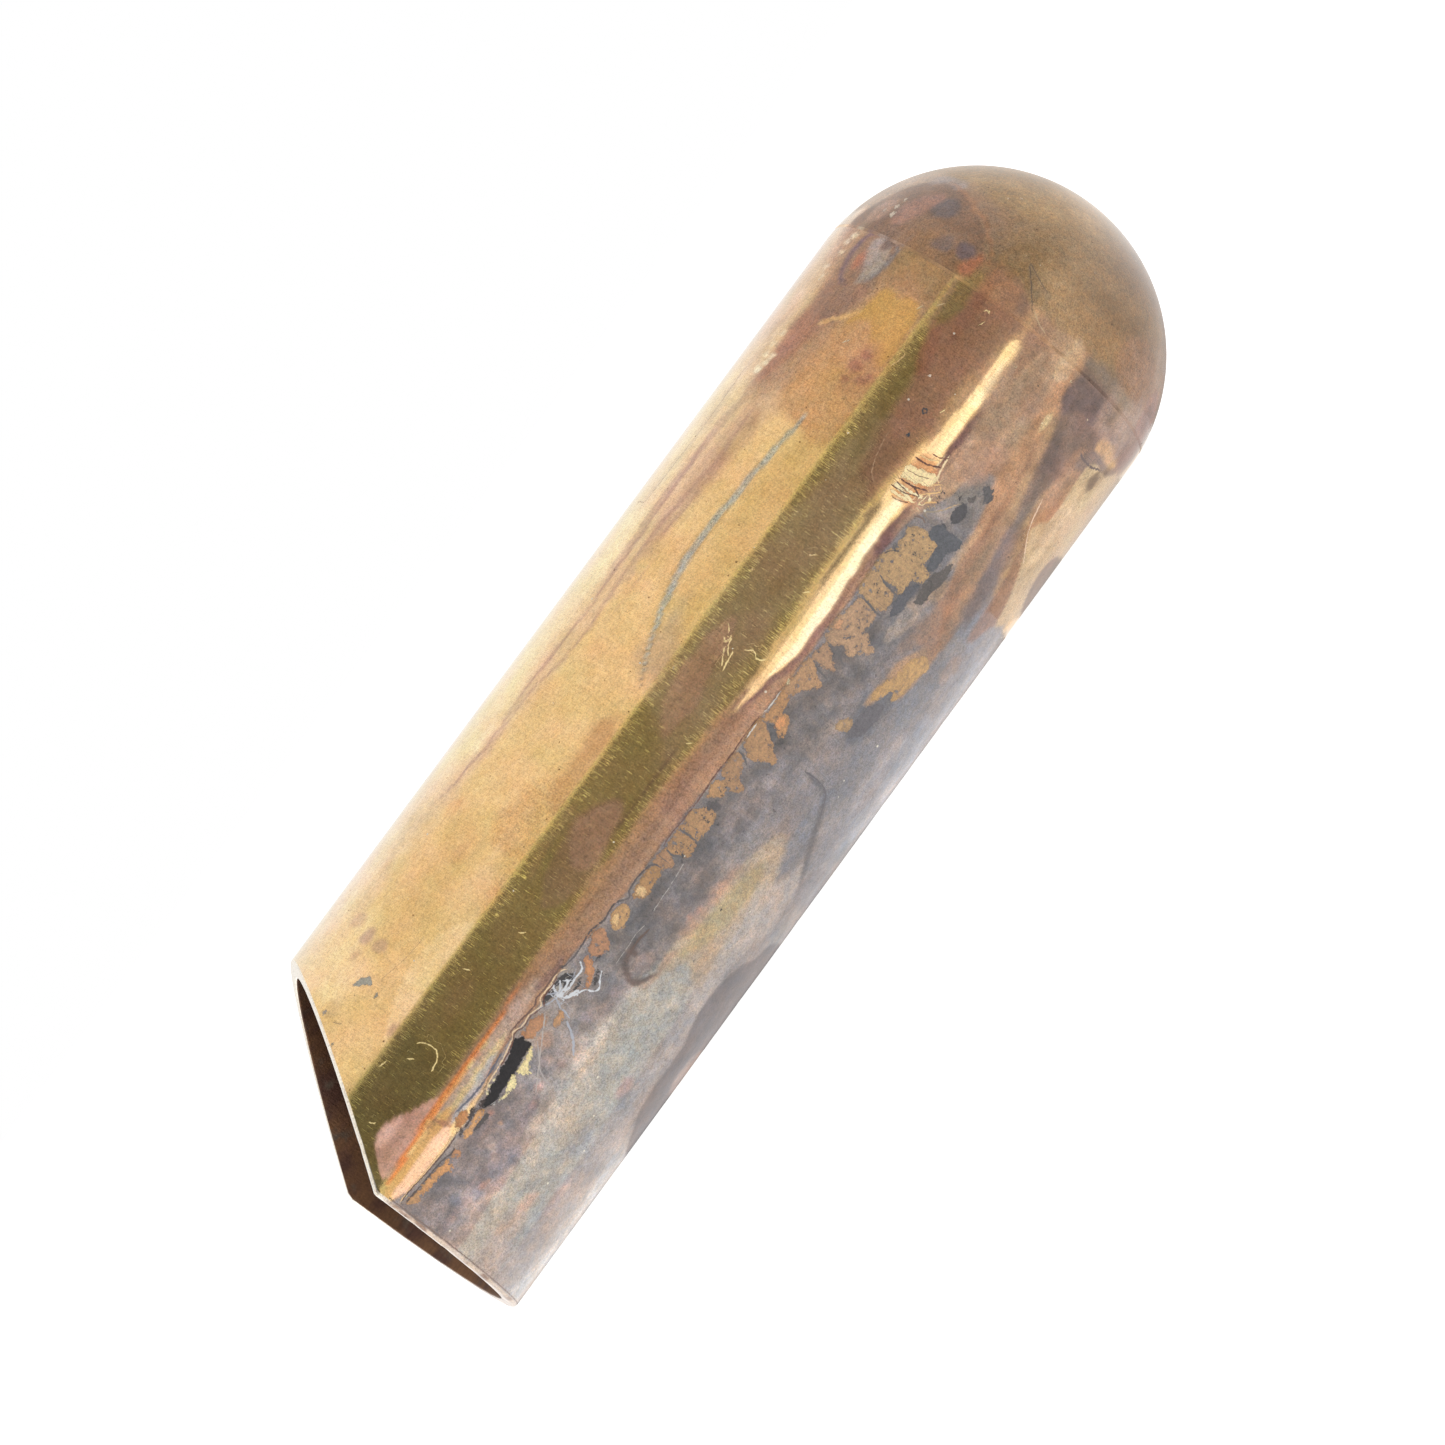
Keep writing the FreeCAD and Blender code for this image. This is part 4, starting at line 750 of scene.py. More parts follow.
DK = [
    ((44, 41, 42), [(7.35, 11.3), (7.9, 10.3), (8.3, 9.8), (8.65, 9.1), (9, 9.4), (9.5, 8.8), (10, 8.6), (10.4, 8.2), (10.9, 8), (11.3, 7.2), (11.5, 6.6), (11.72, 7.6), (11.95, 8.5), (11.82, 9.5), (11.95, 10.4), (11.95, 11.9), (11.4, 12.1), (10.8, 12.3), (10.2, 12.8), (9.6, 12.6), (9.2, 13.4), (8.6, 12.9), (8.2, 13.6), (7.7, 12.3)]),
    ((52, 46, 46), [(14.05, 7.4), (14.3, 6.4), (14.9, 6.2), (15.2, 7), (14.9, 8.6), (14.5, 8)]),
    ((50, 45, 46), [(15.1, 6.6), (15.7, 6.3), (16.15, 7.6), (16.4, 9.6), (16, 10.6), (15.3, 9.8), (15.6, 8.5), (15.25, 7.6)]),
    ((58, 52, 52), [(15.2, 11.2), (15.9, 12), (16.5, 11.8), (16.2, 13), (15.7, 12.9)]),
    ((62, 54, 52), [(16.75, 15.4), (17.3, 14.3), (17.4, 15.2), (16.9, 16.6), (16.5, 16.8)]),
    ((74, 66, 64), [(6.1, 13), (6.7, 13.1), (7.25, 13), (7.25, 14.4), (6.7, 14.1), (6.3, 14)]),
    ((70, 60, 58), [(5.3, 11.2), (5.4, 10), (5.65, 9.7), (5.9, 9.9), (6.4, 10.1), (6.5, 9.2), (6.8, 8.8), (7.05, 8.7), (7.1, 9.6), (6.7, 10.4), (6.2, 10.8), (5.7, 10.7)]),
    ((86, 74, 70), [(7.2, 9.4), (7.5, 10), (7.8, 9.3), (7.7, 10.6), (7.3, 10.8)]),
    ((84, 85, 90), [(48.15, 17.6), (48.7, 16.8), (49.15, 18.8), (49.05, 22), (49.2, 26), (49, 28.4), (48.5, 27.8), (48.1, 25.8), (47.4, 25.8), (46.65, 25.2), (46.78, 22.8), (47.4, 22.2), (48.1, 22)]),
    ((88, 87, 92), [(43.2, 22.8), (43.8, 21.2), (44.4, 21.2), (45.4, 22.4), (45.6, 24.6), (44.6, 24.4), (43.7, 24.8)]),
    ((86, 79, 75), [(44.8, 26.6), (45.9, 25.8), (47.2, 27.4), (47.9, 29.6), (46.8, 30.6), (45.7, 29.2), (45.1, 29.6)]),
    ((70, 67, 70), [(49.75, 19.6), (50.3, 19.2), (50.9, 20.2), (50.75, 22.6), (50.1, 23.4), (49.6, 22)]),
    ((86, 82, 82), [(51.55, 24.8), (52, 24), (52.25, 22.2), (52.55, 23.4), (52.45, 26.2), (52, 27.6), (51.6, 26.6)]),
    ((92, 84, 80), [(51.1, 21.4), (51.4, 20.8), (51.6, 22.4), (51.2, 23.4)]),
    ((96, 92, 96), [(36.5, 35.8), (37.3, 34.6), (38.4, 35), (39, 37.4), (39.2, 40), (38.4, 41.6), (37.3, 40.4), (36.7, 38)]),
    ((96, 92, 92), [(34, 11.6), (34.2, 13), (34.1, 14.8), (33.75, 16.8), (33.6, 15.8), (33.85, 13.6)]),
    ((90, 84, 84), [(28.45, 11), (28.75, 12), (28.9, 13.8), (29, 15.6), (28.6, 15.8), (28.4, 14.2)]),
]
for c, pts in DK:
    S.patch("dark", pts, c, 0.05, h=-0.008)
for a, b, r_ in ((45.1, 20.2, .07), (45.45, 20.7, .06), (46.9, 19, .04), (40.9, 14.4, .04), (2.75, 27.1, .07), (52.9, 15.2, .05), (54.6, 15.8, .06), (55.8, 13.4, .05), (58.8, 17.2, .05), (30.6, 30.4, .05), (24.4, 36, .05), (21.2, 39.4, .06)):
    S.patch("dark", [(a - r_, b), (a, b - r_ * 5), (a + r_, b), (a, b + r_ * 5)], (62, 52, 46), 0.02)

PL = [
    ((240, 222, 162), [(8.1, 13.5), (8.5, 13.9), (9.0, 13.4), (9.4, 13), (9.78, 13.2), (9.72, 14.4), (9.4, 15.3), (9.0, 14.7), (8.7, 15.1), (8.4, 14.7)]),
    ((236, 216, 156), [(10.1, 13.4), (10.6, 12.9), (11.2, 12.4), (11.88, 12.1), (11.62, 13.2), (11.2, 14.2), (10.85, 14.7), (10.65, 15.7), (10.5, 16.9), (10.32, 15.7), (10.15, 14.7)]),
    ((214, 212, 206), [(7.9, 12.9), (8.3, 13.6), (8.5, 14.6), (8.2, 14.4)]),
]
for c, pts in PL:
    S.patch("pale", pts, c, 0.05, h=0.012)
for a, b in ((8.15, 9.9), (8.3, 9.4), (8.5, 9.0), (8.75, 8.9), (9.05, 9.1), (9.3, 8.6), (0.95, 8.5), (2.45, 10.2), (4.95, 9.3), (5.05, 8.8), (36.6, 9.4), (36.9, 9.2), (39.9, 11.4), (40.4, 11.2), (56.2, 18.8), (57.3, 25.6), (59.2, 38), (58.7, 34), (60.2, 25.4), (58.8, 8.4), (49.3, 21.5)):
    S.patch("pale", [(a - .06, b), (a, b - .35), (a + .06, b), (a, b + .35)], (232, 216, 172), 0.02)

# cracks and drawn scratches
L = S.line
L("la", [(0.4, 8.7), (1, 8.3), (2, 8.8), (2.6, 9.3), (3.4, 9.6), (4.2, 9.9), (5, 9.9), (5.5, 9.3)], 0.035, (84, 52, 40), h=-0.02)
L("lb", [(0.5, 8.1), (1.4, 8.1), (2.4, 8.8), (3.4, 9.1), (4.4, 9.3), (5.2, 8.9)], 0.03, (240, 196, 140))
L("lc", [(0.7, 9.6), (1.6, 10), (2.4, 10.3), (3.2, 10.6), (3.9, 11.1), (4.3, 11.8), (4.6, 11.6)], 0.05, (76, 60, 54), h=-0.02)
L("la", [(8.3, 8.9), (8.8, 8.2), (9.4, 8.0), (9.8, 7.8), (10.6, 7.2), (11, 6.6), (11.4, 6.3), (11.8, 5.2), (12.2, 6.2), (12.6, 6.3), (13, 6), (13.4, 6.6), (13.8, 7.3), (14.0, 6.9), (14.2, 5.6), (14.9, 5.9), (15.6, 5.5), (16, 5.8), (16.3, 6.6)], 0.04, (236, 204, 164))
L("lb", [(9.9, 8.3), (10.7, 7.7), (11.2, 7.0), (11.6, 6.2), (11.9, 5.7), (12.3, 6.9), (13, 6.6), (13.5, 7.4), (13.9, 8.0), (14.1, 7.6), (14.35, 6.3), (15, 6.5), (15.6, 6.1)], 0.04, (104, 62, 44), h=-0.015)
L("lc", [(6.2, 5.6), (7.6, 6.8), (9, 6.9), (10.4, 6.2)], 0.06, (108, 108, 118))
L("lc", [(11.6, 4.6), (12.4, 4.9), (13.6, 5.7), (14.1, 4.9), (15, 5.2), (16.3, 4.9)], 0.05, (110, 82, 70))
L("lc", [(16.3, 5.6), (17, 6.5), (18, 6.4), (18.6, 5.9), (19.2, 6.3), (19.9, 7.4), (20.5, 6.8), (21, 7.1), (21.4, 8.6), (21.62, 9.5), (21.9, 8.3), (22.5, 7.8), (23.2, 8.0), (23.8, 8.6), (24.02, 10), (24.05, 11.6)], 0.055, (88, 78, 76))
L("la", [(18.1, 5.3), (18.7, 5.2), (19.4, 5.7), (20, 6.5), (20.6, 6.2), (21.2, 6.6), (21.6, 8.2), (22.2, 7), (23.3, 7.2)], 0.03, (160, 126, 100))
L("lb", [(25.1, 8.6), (25.6, 8.1), (27, 8.5), (28.6, 8.7), (30, 8.3), (31.6, 8.6), (32.6, 8.3), (34.2, 8.5)], [0.03, 0.05, 0.03], (110, 74, 62))
L("la", [(32.8, 9.35), (33.2, 9.2), (33.8, 9.1)], 0.035, (226, 218, 206))
L("la", [(34.45, 8.8), (34.8, 9.2), (35.3, 9.35), (36.05, 9.15)], 0.034, (220, 212, 202), h=0.01)
L("la", [(18.2, 18), (19.3, 17.9), (20.2, 17.6), (21, 18.1)], 0.016, (172, 164, 158))
L("la", [(21.9, 17.7), (22.8, 17.4), (23.3, 17.3), (24.3, 17), (25.1, 16.4)], 0.018, (178, 172, 166))
# crystals
CR = (214, 216, 220)
C2 = (166, 168, 178)
L("la", [(14.85, 9.7), (15.0, 8.2), (15.2, 6.4)], [0.09, 0.07], CR, h=0.012)
L("lb", [(14.8, 9.6), (15.3, 8.6), (15.62, 7.4)], [0.08, 0.05], CR, h=0.012)
L("lc", [(14.9, 9.7), (15.5, 9.9), (15.95, 9.3), (15.7, 8.2)], [0.07, 0.05], CR, h=0.012)
L("la", [(14.9, 10.0), (15.6, 10.8), (16.25, 10.6), (16.85, 10.7), (17.05, 9.6), (17.15, 8.8)], [0.08, 0.06, 0.045], CR, h=0.012)
L("lb", [(14.9, 10.2), (15.1, 11.8), (15.8, 13.4), (15.5, 14.2)], [0.08, 0.05], CR, h=0.012)
L("lc", [(15.1, 12.2), (15.7, 14), (16.1, 15.2), (16.3, 17.6), (16.62, 18.3), (17, 17), (17.45, 15.8)], [0.05, 0.05, 0.06], CR, h=0.01)
L("la", [(14.75, 9.6), (14.2, 8.6), (13.7, 7.4)], [0.06, 0.035], C2)
L("lb", [(14.7, 9.9), (14.45, 12), (14.42, 14), (14.3, 16.2)], [0.06, 0.045], C2)
L("la", [(14.05, 16.4), (13.65, 20), (13.3, 22.2), (12.8, 24.3)], [0.05, 0.085, 0.07], C2, h=0.008)
L("lc", [(13.6, 9.8), (12.7, 12.6), (11.6, 16), (9.9, 21.6)], [0.05, 0.04, 0.03], (176, 164, 156))
L("lb", [(12.2, 12.6), (11.6, 15.6), (11, 18.6), (10.7, 22.8)], [0.03, 0.05, 0.04], (166, 156, 152))
L("lb", [(14.6, 6.8), (14.9, 8.4), (15.3, 9.4), (15.5, 7.8)], 0.045, C2)
L("lc", [(16.2, 10.3), (16.5, 9.4), (16.9, 8.9)], 0.03, C2)
L("la", [(46.1, 25.2), (46.3, 27), (45.9, 28.6)], 0.03, (70, 64, 62))
L("la", [(45.85, 9.9), (46.2, 11.2), (46.42, 13.2)], 0.04, (70, 64, 60), h=-0.01)
L("lb", [(46.5, 10.3), (46.3, 12)], 0.04, (70, 64, 60))
# veins between the flakes
for pts in ([(38.55, 11.6), (38.3, 14.6), (38.2, 18.4)], [(39.75, 12.6), (39.65, 17), (39.4, 20)], [(43.02, 12.4), (43.0, 15), (42.9, 18), (42.9, 20.4)], [(44.7, 12.6), (44.52, 15), (44.42, 18), (44.4, 20.8)],
            [(31.9, 10), (31.85, 12), (31.6, 14)], [(26.45, 9.6), (26.45, 12), (26.45, 15)], [(25.05, 10), (25.0, 12), (25.2, 14.6)]):
    L("lc", pts, [0.04, 0.07, 0.05], (88, 82, 80), h=-0.01)
# streaks pulled down from the dent
for pts, w, c in (([(49.35, 9), (49.6, 11.4), (49.9, 13)], .05, (226, 176, 110)), ([(49.8, 8.6), (50.1, 10.4), (50.5, 12.6)], .035, (240, 196, 130)), ([(50.4, 8.6), (50.7, 10.4), (50.9, 11.6)], .035, (236, 190, 128)),
                  ([(50.9, 9.4), (51.6, 8.6), (52.4, 8.2)], .06, (250, 222, 176)), ([(49.1, 12.4), (49.5, 15), (50, 17.4)], .05, (150, 134, 112)), ([(48.5, 10.4), (48.7, 12.4), (48.6, 14)], .05, (112, 88, 72)),
                  ([(49.6, 15.4), (50.2, 17.8), (50.6, 19)], .03, (196, 160, 116))):
    L("la", pts, w, c)
# scratches in the mirror strip, painted near white: painted glints
SCRATCH_GLINT = (250, 226, 160)
for k, pts in enumerate((
    [(35.2, -9.2), (35.7, -10.6), (36.2, -12), (36.62, -13.6)], [(35.9, -9.6), (36.3, -11), (36.9, -12.2)], [(36.95, -13.2), (37.3, -14.6)], [(36.2, -11.2), (36.8, -11.6)],
    [(8.2, -15), (8.42, -13), (8.45, -11), (8.4, -9.4), (8.1, -8), (7.4, -7)], [(7.1, -15), (7.3, -13.2)], [(5.9, -20.2), (6.3, -19.6)], [(3, -12.7), (3.15, -11.4)], [(16.4, -10.4), (16.6, -9.2)],
    [(36.7, -6), (36.95, -4), (36.62, -2), (36.9, 0)], [(43.2, -7.4), (43.35, -6.4)], [(41.3, -2.4), (41.45, -1.4)], [(60.3, -8.9), (60.45, -8), (60.3, -7.4)], [(59.5, -7.4), (59.75, -6.8)],
    [(35.1, -8.2), (36.2, -9)], [(13, -17), (13.1, -15.6)], [(30.5, -4), (30.6, -3)], [(54.1, -1.6), (54.3, -1)], [(61.2, -5.2), (61.4, -4.6)],
)):
    L(("la", "lb", "lc")[k % 3], pts, 0.032, SCRATCH_GLINT)
L("lb", [(48.7, -5.6), (49.1, -7.6), (49.8, -9), (50.7, -10), (51.5, -10.5)], 0.02, (196, 160, 124))
for a, b, r_ in ((52.0, -5.2, .16), (53.6, -5.6, .2)):
    L("lc", [(a - r_, b), (a, b - r_ * 5), (a + r_, b), (a, b + r_ * 5), (a - r_, b)], 0.035, (58, 66, 72))
# seam of the pale rectangle and other faint marks on the bright side
L("la", [(41, -78), (41.05, -74), (41.3, -72), (44, -71.2), (47, -70.4), (50.6, -71.6)], 0.035, (212, 184, 150))
# a short scratch painted near white: painted glint
L("lb", [(54.4, -39.4), (54.7, -38)], 0.03, (250, 230, 190))
L("lb", [(58.2, -26), (58.6, -24.6)], 0.03, (226, 200, 150))
L("lc", [(59, -21.4), (59.3, -20)], 0.03, (226, 200, 150))
L("lc", [(54.7, -21.8), (55.1, -20.8), (55.7, -20.3)], 0.03, (214, 176, 120))
L("la", [(6.4, -42), (6.55, -39)], 0.03, (150, 120, 86))
L("la", [(9.9, -36.6), (11.6, -34.2), (13, -33.4)], 0.02, (196, 156, 108))
# dark edge of the bare patch and of the purple strip
L("la", [(50.8, 53.8), (51.6, 49.2), (52.3, 46), (53.0, 44.4), (54.2, 42.6)], 0.045, (222, 190, 160))
L("lb", [(57.55, 45), (57.5, 49), (57.6, 53), (57.85, 57)], 0.08, (92, 72, 66))
L("lb", [(20.9, 19.9), (20.1, 19.3), (19.3, 19.5)], 0.06, (84, 56, 42))
L("lb", [(33.4, 31), (33.5, 36), (33.3, 42), (32.1, 46.4)], 0.05, (82, 76, 80))

# thin dark line inside the square edge
L("lb", [(0.3, t) for t in range(5, 100, 5)], [0.03, 0.04, 0.03, 0.04, 0.02], (118, 92, 78))
# fine crazing, blotches and pits all over the crust
crust = smooth(S.th, 9, 12) * smooth(-S.th, -118, -100) * smooth(-S.u, -53, -46)
blotch = noise(S.p, 1.1, 51, 3)
blotch2 = noise(S.p * [1, 1, 1], 0.55, 53, 2)
hue = noise(S.p, 1.6, 57, 2)
crumbs = noise(S.p, 0.62, 71, 3, 0.6)
streak = noise(S.p * [0.35, 1, 1], 0.7, 73, 3, 0.6)
dark_zone = crust * smooth(-S.th + 2 * S.w1, -34, -26)
S.col *= 1 + (crust * (0.10 * S.w1 + 0.10 * blotch + 0.07 * blotch2) + dark_zone * (0.20 * blotch + 0.17 * blotch2))[:, None]
S.col *= 1 + (crust * (0.13 * crumbs + 0.10 * streak))[:, None] * np.array([0.9, 1.0, 1.0])
S.col *= 1 + (dark_zone * (0.19 * crumbs - 0.18 * smooth(streak, 0.1, 0.5)))[:, None]
for u0, t0, su, st, k in ((34.4, 25, 1.9, 3.6, .27), (36.6, 27.5, 1, 2.2, .14), (41.5, 21.5, 1.4, 1.8, .12), (42.3, 30.4, 1.7, 1.9, .25), (45, 22, .8, 2.6, .24),
                          (48, 21.2, .55, 1.3, .28), (46.5, 31.3, .9, 1.6, .28), (26.2, 20.6, .9, 2.8, .18), (25.1, 25, 1.2, 2.4, .24), (24.2, 20.4, .7, 1.5, .18), (30.6, 20.6, .8, 1.2, .22),
                          (40.2, 34.4, .8, 2.4, .26), (43.3, 33.6, 1.4, 1.9, .2), (32.5, 20.1, .8, 1.4, .16), (33, 29.2, .8, 1.1, .16)):
    r2 = ((S.u - u0 + 0.12 * S.w2) / su) ** 2 + ((S.th - t0 + 0.6 * S.w1) / st) ** 2
    S.col *= 1 - (k * smooth(np.exp(-r2) + 0.16 * blotch2, 0.24, 0.6))[:, None]
S.col *= 1 + (crust * crumbs)[:, None] * np.array([0.07, 0.0, -0.06])
S.col *= 1 + (crust * hue)[:, None] * np.array([0.09, 0.0, -0.08])
S.col *= 1 + ((1 - crust) * (0.05 * S.w1 + 0.045 * blotch + 0.04 * streak))[:, None] * np.array([0.75, 1.0, 1.7])
S.col *= 1 + ((1 - crust) * hue)[:, None] * np.array([-0.035, 0.015, -0.045])
# streaks in the narrow strip and mottling of the brown end
S.set(slice(None), smooth(S.th, 2, 4) * smooth(-S.th, -10, -8) * smooth(S.u, 18, 21) * smooth(-S.u, -30, -27), tone=(0.86, 0.86, 0.86))
narrow = smooth(S.th, -2, 1) * smooth(-S.th, -10, -8) * smooth(S.u, 14, 17) * smooth(-S.u, -38, -34)
S.col *= 1 - (narrow * (0.20 * smooth(S.wl, 0.0, 0.5) - 0.10 * smooth(S.wc, 0.1, 0.5)))[:, None] * np.array([0.9, 1.0, 1.0])
brown = smooth(S.u + 0.6 * S.w1, 49, 51.5) * smooth(S.th, 6, 10) * smooth(-S.th, -66, -60)
S.col *= 1 + (brown * (0.20 * blotch + 0.14 * blotch2 + 0.14 * crumbs + 0.12 * streak))[:, None] * np.array([0.9, 1.0, 1.15])
# overall depth of the tarnish, round the tube and towards the dome
deep = crust * smooth(S.th, 9, 16)
S.set(slice(None), deep * (1 - smooth(S.th, 60, 76)), tone=(0.84, 0.83, 0.84))
S.set(slice(None), deep * smooth(S.th, 26, 44) * (1 - smooth(S.th, 64, 80)), tone=(0.90, 0.89, 0.89))
S.set(slice(None), smooth(S.u, 48, 52) * smooth(S.th, 8, 14) * smooth(-S.th, -130, -110), tone=(0.83, 0.81, 0.79))
# towards the underside: less coat and a darker colour
S.coat -= 0.35 * smooth(S.th, 50, 76)
S.coat -= 0.3 * smooth(S.th, 68, 84)
S.set(slice(None), smooth(S.th, 72, 84) * smooth(-S.th, -130, -110), tone=(0.70, 0.67, 0.66))
S.set(slice(None), smooth(S.th, 66, 78) * smooth(S.u, 54, 58) * smooth(-S.th, -130, -110), tone=(0.80, 0.76, 0.74))
S.set(slice(None), crust * smooth(S.u, 40, 43) * smooth(-S.u, -52, -49) * smooth(S.th, 38, 44) * smooth(-S.th, -58, -50), tone=(0.84, 0.84, 0.84))
S.set(slice(None), smooth(S.th, 26, 31) * smooth(-S.th, -50, -44) * smooth(-S.u, -24, -18), tone=(1.05, 1.0, 0.94))
S.set(slice(None), smooth(S.th, 1.4, 2.2) * smooth(-S.th, -5.6, -4.8) * smooth(-S.u, -6.6, -5.8), tone=(0.84, 0.82, 0.80))
S.set(slice(None), smooth(-S.th, 62, 67) * smooth(-S.th, -96, -88) * smooth(S.u + 0.5 * S.w1, 50.5, 53.5), tone=(0.87, 0.82, 0.86))
S.set(slice(None), smooth(-S.th, 53, 57) * smooth(S.th, -65, -62) * smooth(S.u, 55, 57), tone=(1.13, 1.13, 1.08))
S.set(slice(None), smooth(S.u, 50, 52) * smooth(S.th, 8, 12) * smooth(-S.th, -54, -46), tone=(0.97, 0.955, 0.89))
S.coat -= 0.45 * smooth(S.th, 78, 85) * smooth(-S.th, -130, -110)
S.coat -= 0.7 * smooth(S.u, 7.0, 7.4) * smooth(-S.u, -12.3, -11.9) * smooth(S.th, 5.8, 6.8) * smooth(-S.th, -14, -12.6)
np.clip(S.coat, 0, 1, out=S.coat)
S.h -= 0.012 * crust * smooth(S.w2, 0.25, 0.7)
S.h += 0.006 * crust * S.w1

# unseen far side: the same brown and grey, older and quieter
back = smooth(np.where(S.th < -100, S.th + 360, S.th), 92, 112) * smooth(-np.where(S.th < -100, S.th + 360, S.th), -262, -240)
tone_b = smooth(S.w3 * 0.6 + S.wl * 0.8, -0.9, 0.9)
c_b = srgb(206, 164, 112) * tone_b[:, None] + srgb(160, 122, 92) * (1 - tone_b[:, None])
S.col += (c_b - S.col) * (back * 0.9)[:, None]
for name, v in (("metal", 0.95), ("rough", 0.2), ("grain", 0.15), ("mottle", 0.3), ("hair", 0.6)):
    a_ = getattr(S, name)
    a_ += (v - a_) * back
grey_b = back * smooth(S.w3 * 0.8 - S.w1 * 0.45 + 0.2 * S.w2, 0.24, 0.62) * 0.8
S.col += (srgb(146, 126, 108) - S.col) * (grey_b * 0.8)[:, None]
warm_b = back * smooth(S.wl * 0.8 + S.w1 * 0.4, 0.2, 0.7)
S.col += (srgb(168, 118, 84) - S.col) * (warm_b * 0.5)[:, None]
S.col *= 1 + (back * (0.10 * blotch + 0.08 * S.w2))[:, None]
S.metal += (0.2 - S.metal) * grey_b
S.rough += (0.5 - S.rough) * grey_b

# ---------------------------------------------------------------------------
# the dome's skin
# ---------------------------------------------------------------------------
D = dome_skin
D.col[:] = srgb(166, 132, 88)
D.rough[:] = 0.40
D.metal[:] = 0.75
D.hair[:] = 0.25
D.mottle[:] = 0.55
D.grain[:] = 0.5
D.brush[:] = 0.25
D.coat[:] = 0.75


def ring_mix(skin, centre, width, lo, hi, col, op):
    """Colour over a range of angle round the axis and of length along it."""
    t = (skin.th - centre + 180) % 360 - 180
    m = smooth(width - np.abs(t) + 9 * skin.w3, -12, 12) * smooth(skin.u + 0.5 * skin.w1, lo - 0.4, lo + 0.4) * smooth(-skin.u + 0.5 * skin.w1, -hi - 0.8, -hi + 0.8) * op
    skin.set(slice(None), m, col)


ring_mix(D, -44, 26, 61, 66.3, (146, 114, 92), 0.75)
ring_mix(D, 36, 24, 61.6, 66.2, (148, 116, 80), 0.75)
ring_mix(D, 6, 20, 61, 67, (166, 132, 92), 0.6)
ring_mix(D, 56, 12, 61, 66, (190, 160, 140), 0.5)
# the lower half of the cap painted darker brown: partly tarnish, partly painted shade
low = smooth((R - D.p[:, 2]) / R0 + 0.06 * D.w3, -0.12, 0.3) * smooth(D.u, 63.8, 65.4)
D.set(slice(None), low * 0.75, (132, 104, 72))
ring_mix(D, 30, 40, 64.8, 68.6, (130, 102, 68), 0.4)
ring_mix(D, 78, 18, 61.6, 66, (176, 150, 134), 0.6)
ring_mix(D, -76, 18, 61, 66, (206, 176, 150), 0.6)
# darker and browner towards the bottom, darkest at the very bottom: painted shade
down = (R - D.p[:, 2]) / R0
D.set(slice(None), smooth(down, 0.02, 0.5) * smooth(D.u, 61.6, 64), tone=(0.84, 0.79, 0.73))
D.set(slice(None), smooth(down, 0.08, 0.42) * smooth(D.u, 66, 69), tone=(0.74, 0.66, 0.58))
D.set(slice(None), smooth(down, 0.84, 0.96), tone=(0.74, 0.70, 0.67))
D.coat -= 0.4 * smooth(down, 0.2, 0.7)
# near the seam the cap wears the same tarnish as the tube
near_seam = 0.85 * smooth(62.4 + 0.55 * D.w1 + 0.15 * D.w2 - D.u, -0.3, 0.3)


def at_seam(values, theta):
    row = values.reshape(len(g), M)[-5]
    return np.interp(theta, TH, row, period=360)


for k in range(3):
    D.col[:, k] += (at_seam(S.col[:, k], D.th) - D.col[:, k]) * near_seam
for name in ("metal", "rough", "mottle", "brush", "coat", "grain"):
    a_ = getattr(D, name)
    a_ += (at_seam(getattr(S, name), D.th) - a_) * near_seam
D.blob([(61.2, -73), (63.4, -70), (65, -64), (66, -55), (65.8, -45), (65.2, -35), (64.5, -27.5), (63.8, -22.5), (62.8, -19.4), (61.8, -20), (61, -24), (60, -40), (60, -62)], (132, 98, 74), 0.8, 0.12, 0.14, 0.06, rough=0.42)
for pts, c, op in (
    ([(63.6, -46), (64.6, -47), (65.1, -42), (64.6, -38), (63.8, -39)], (104, 92, 92), 0.75),
    ([(62.2, -27), (62.9, -28), (63.2, -24), (62.6, -21.6), (62.1, -23.4)], (98, 84, 92), 0.75),
    ([(61.8, -35), (62.4, -35.4), (62.8, -31.4), (62, -29)], (110, 94, 92), 0.7),
    ([(61.5, -23.4), (62.4, -21.6), (63.2, -20), (62.6, -18.4), (61.4, -19)], (180, 112, 82), 0.8),
    ([(62, -54), (63.5, -57), (65, -50), (64.6, -46), (62.6, -48)], (176, 128, 112), 0.5),
    ([(61.6, -66), (62.8, -68), (63.6, -62), (62.6, -59), (61.6, -61)], (190, 150, 128), 0.6),
    ([(65.6, -61), (66.3, -61), (66.6, -54), (66.3, -47), (65.8, -48), (65.9, -54)], (156, 142, 138), 0.6),
    ([(62.1, -18.4), (63, -18), (63.1, -9), (62.8, -4.6), (62.2, -6)], (158, 116, 90), 0.5),
    ([(61.3, -2), (62.3, -3), (62.2, 1), (61.4, 2)], (128, 100, 84), 0.6),
    ([(61.4, 27), (62.5, 28), (62.6, 38), (62.3, 50), (61.3, 51)], (126, 108, 84), 0.5),
    ([(62.4, 37), (64.4, 37), (65.2, 46), (64.6, 58), (62.6, 61), (61.9, 50)], (152, 112, 86), 0.45),
    ([(61, 61), (62.8, 60), (63.8, 64), (63.4, 71), (62, 75), (60.8, 73)], (158, 118, 104), 0.75),
    ([(61.4, 62.6), (62.8, 63), (63, 68), (61.6, 69)], (134, 104, 96), 0.6),
):
    D.blob(pts, c, op, 0.2, 0.16, 0.08)
D.stroke([(62.6, -17), (63.6, -19.6), (64.6, -26), (65.2, -34), (65.9, -44), (66.1, -54)], [0.06, 0.12, 0.14, 0.14, 0.12, 0.08], (178, 122, 80), 0.55, soft=0.15, warp=0.12)
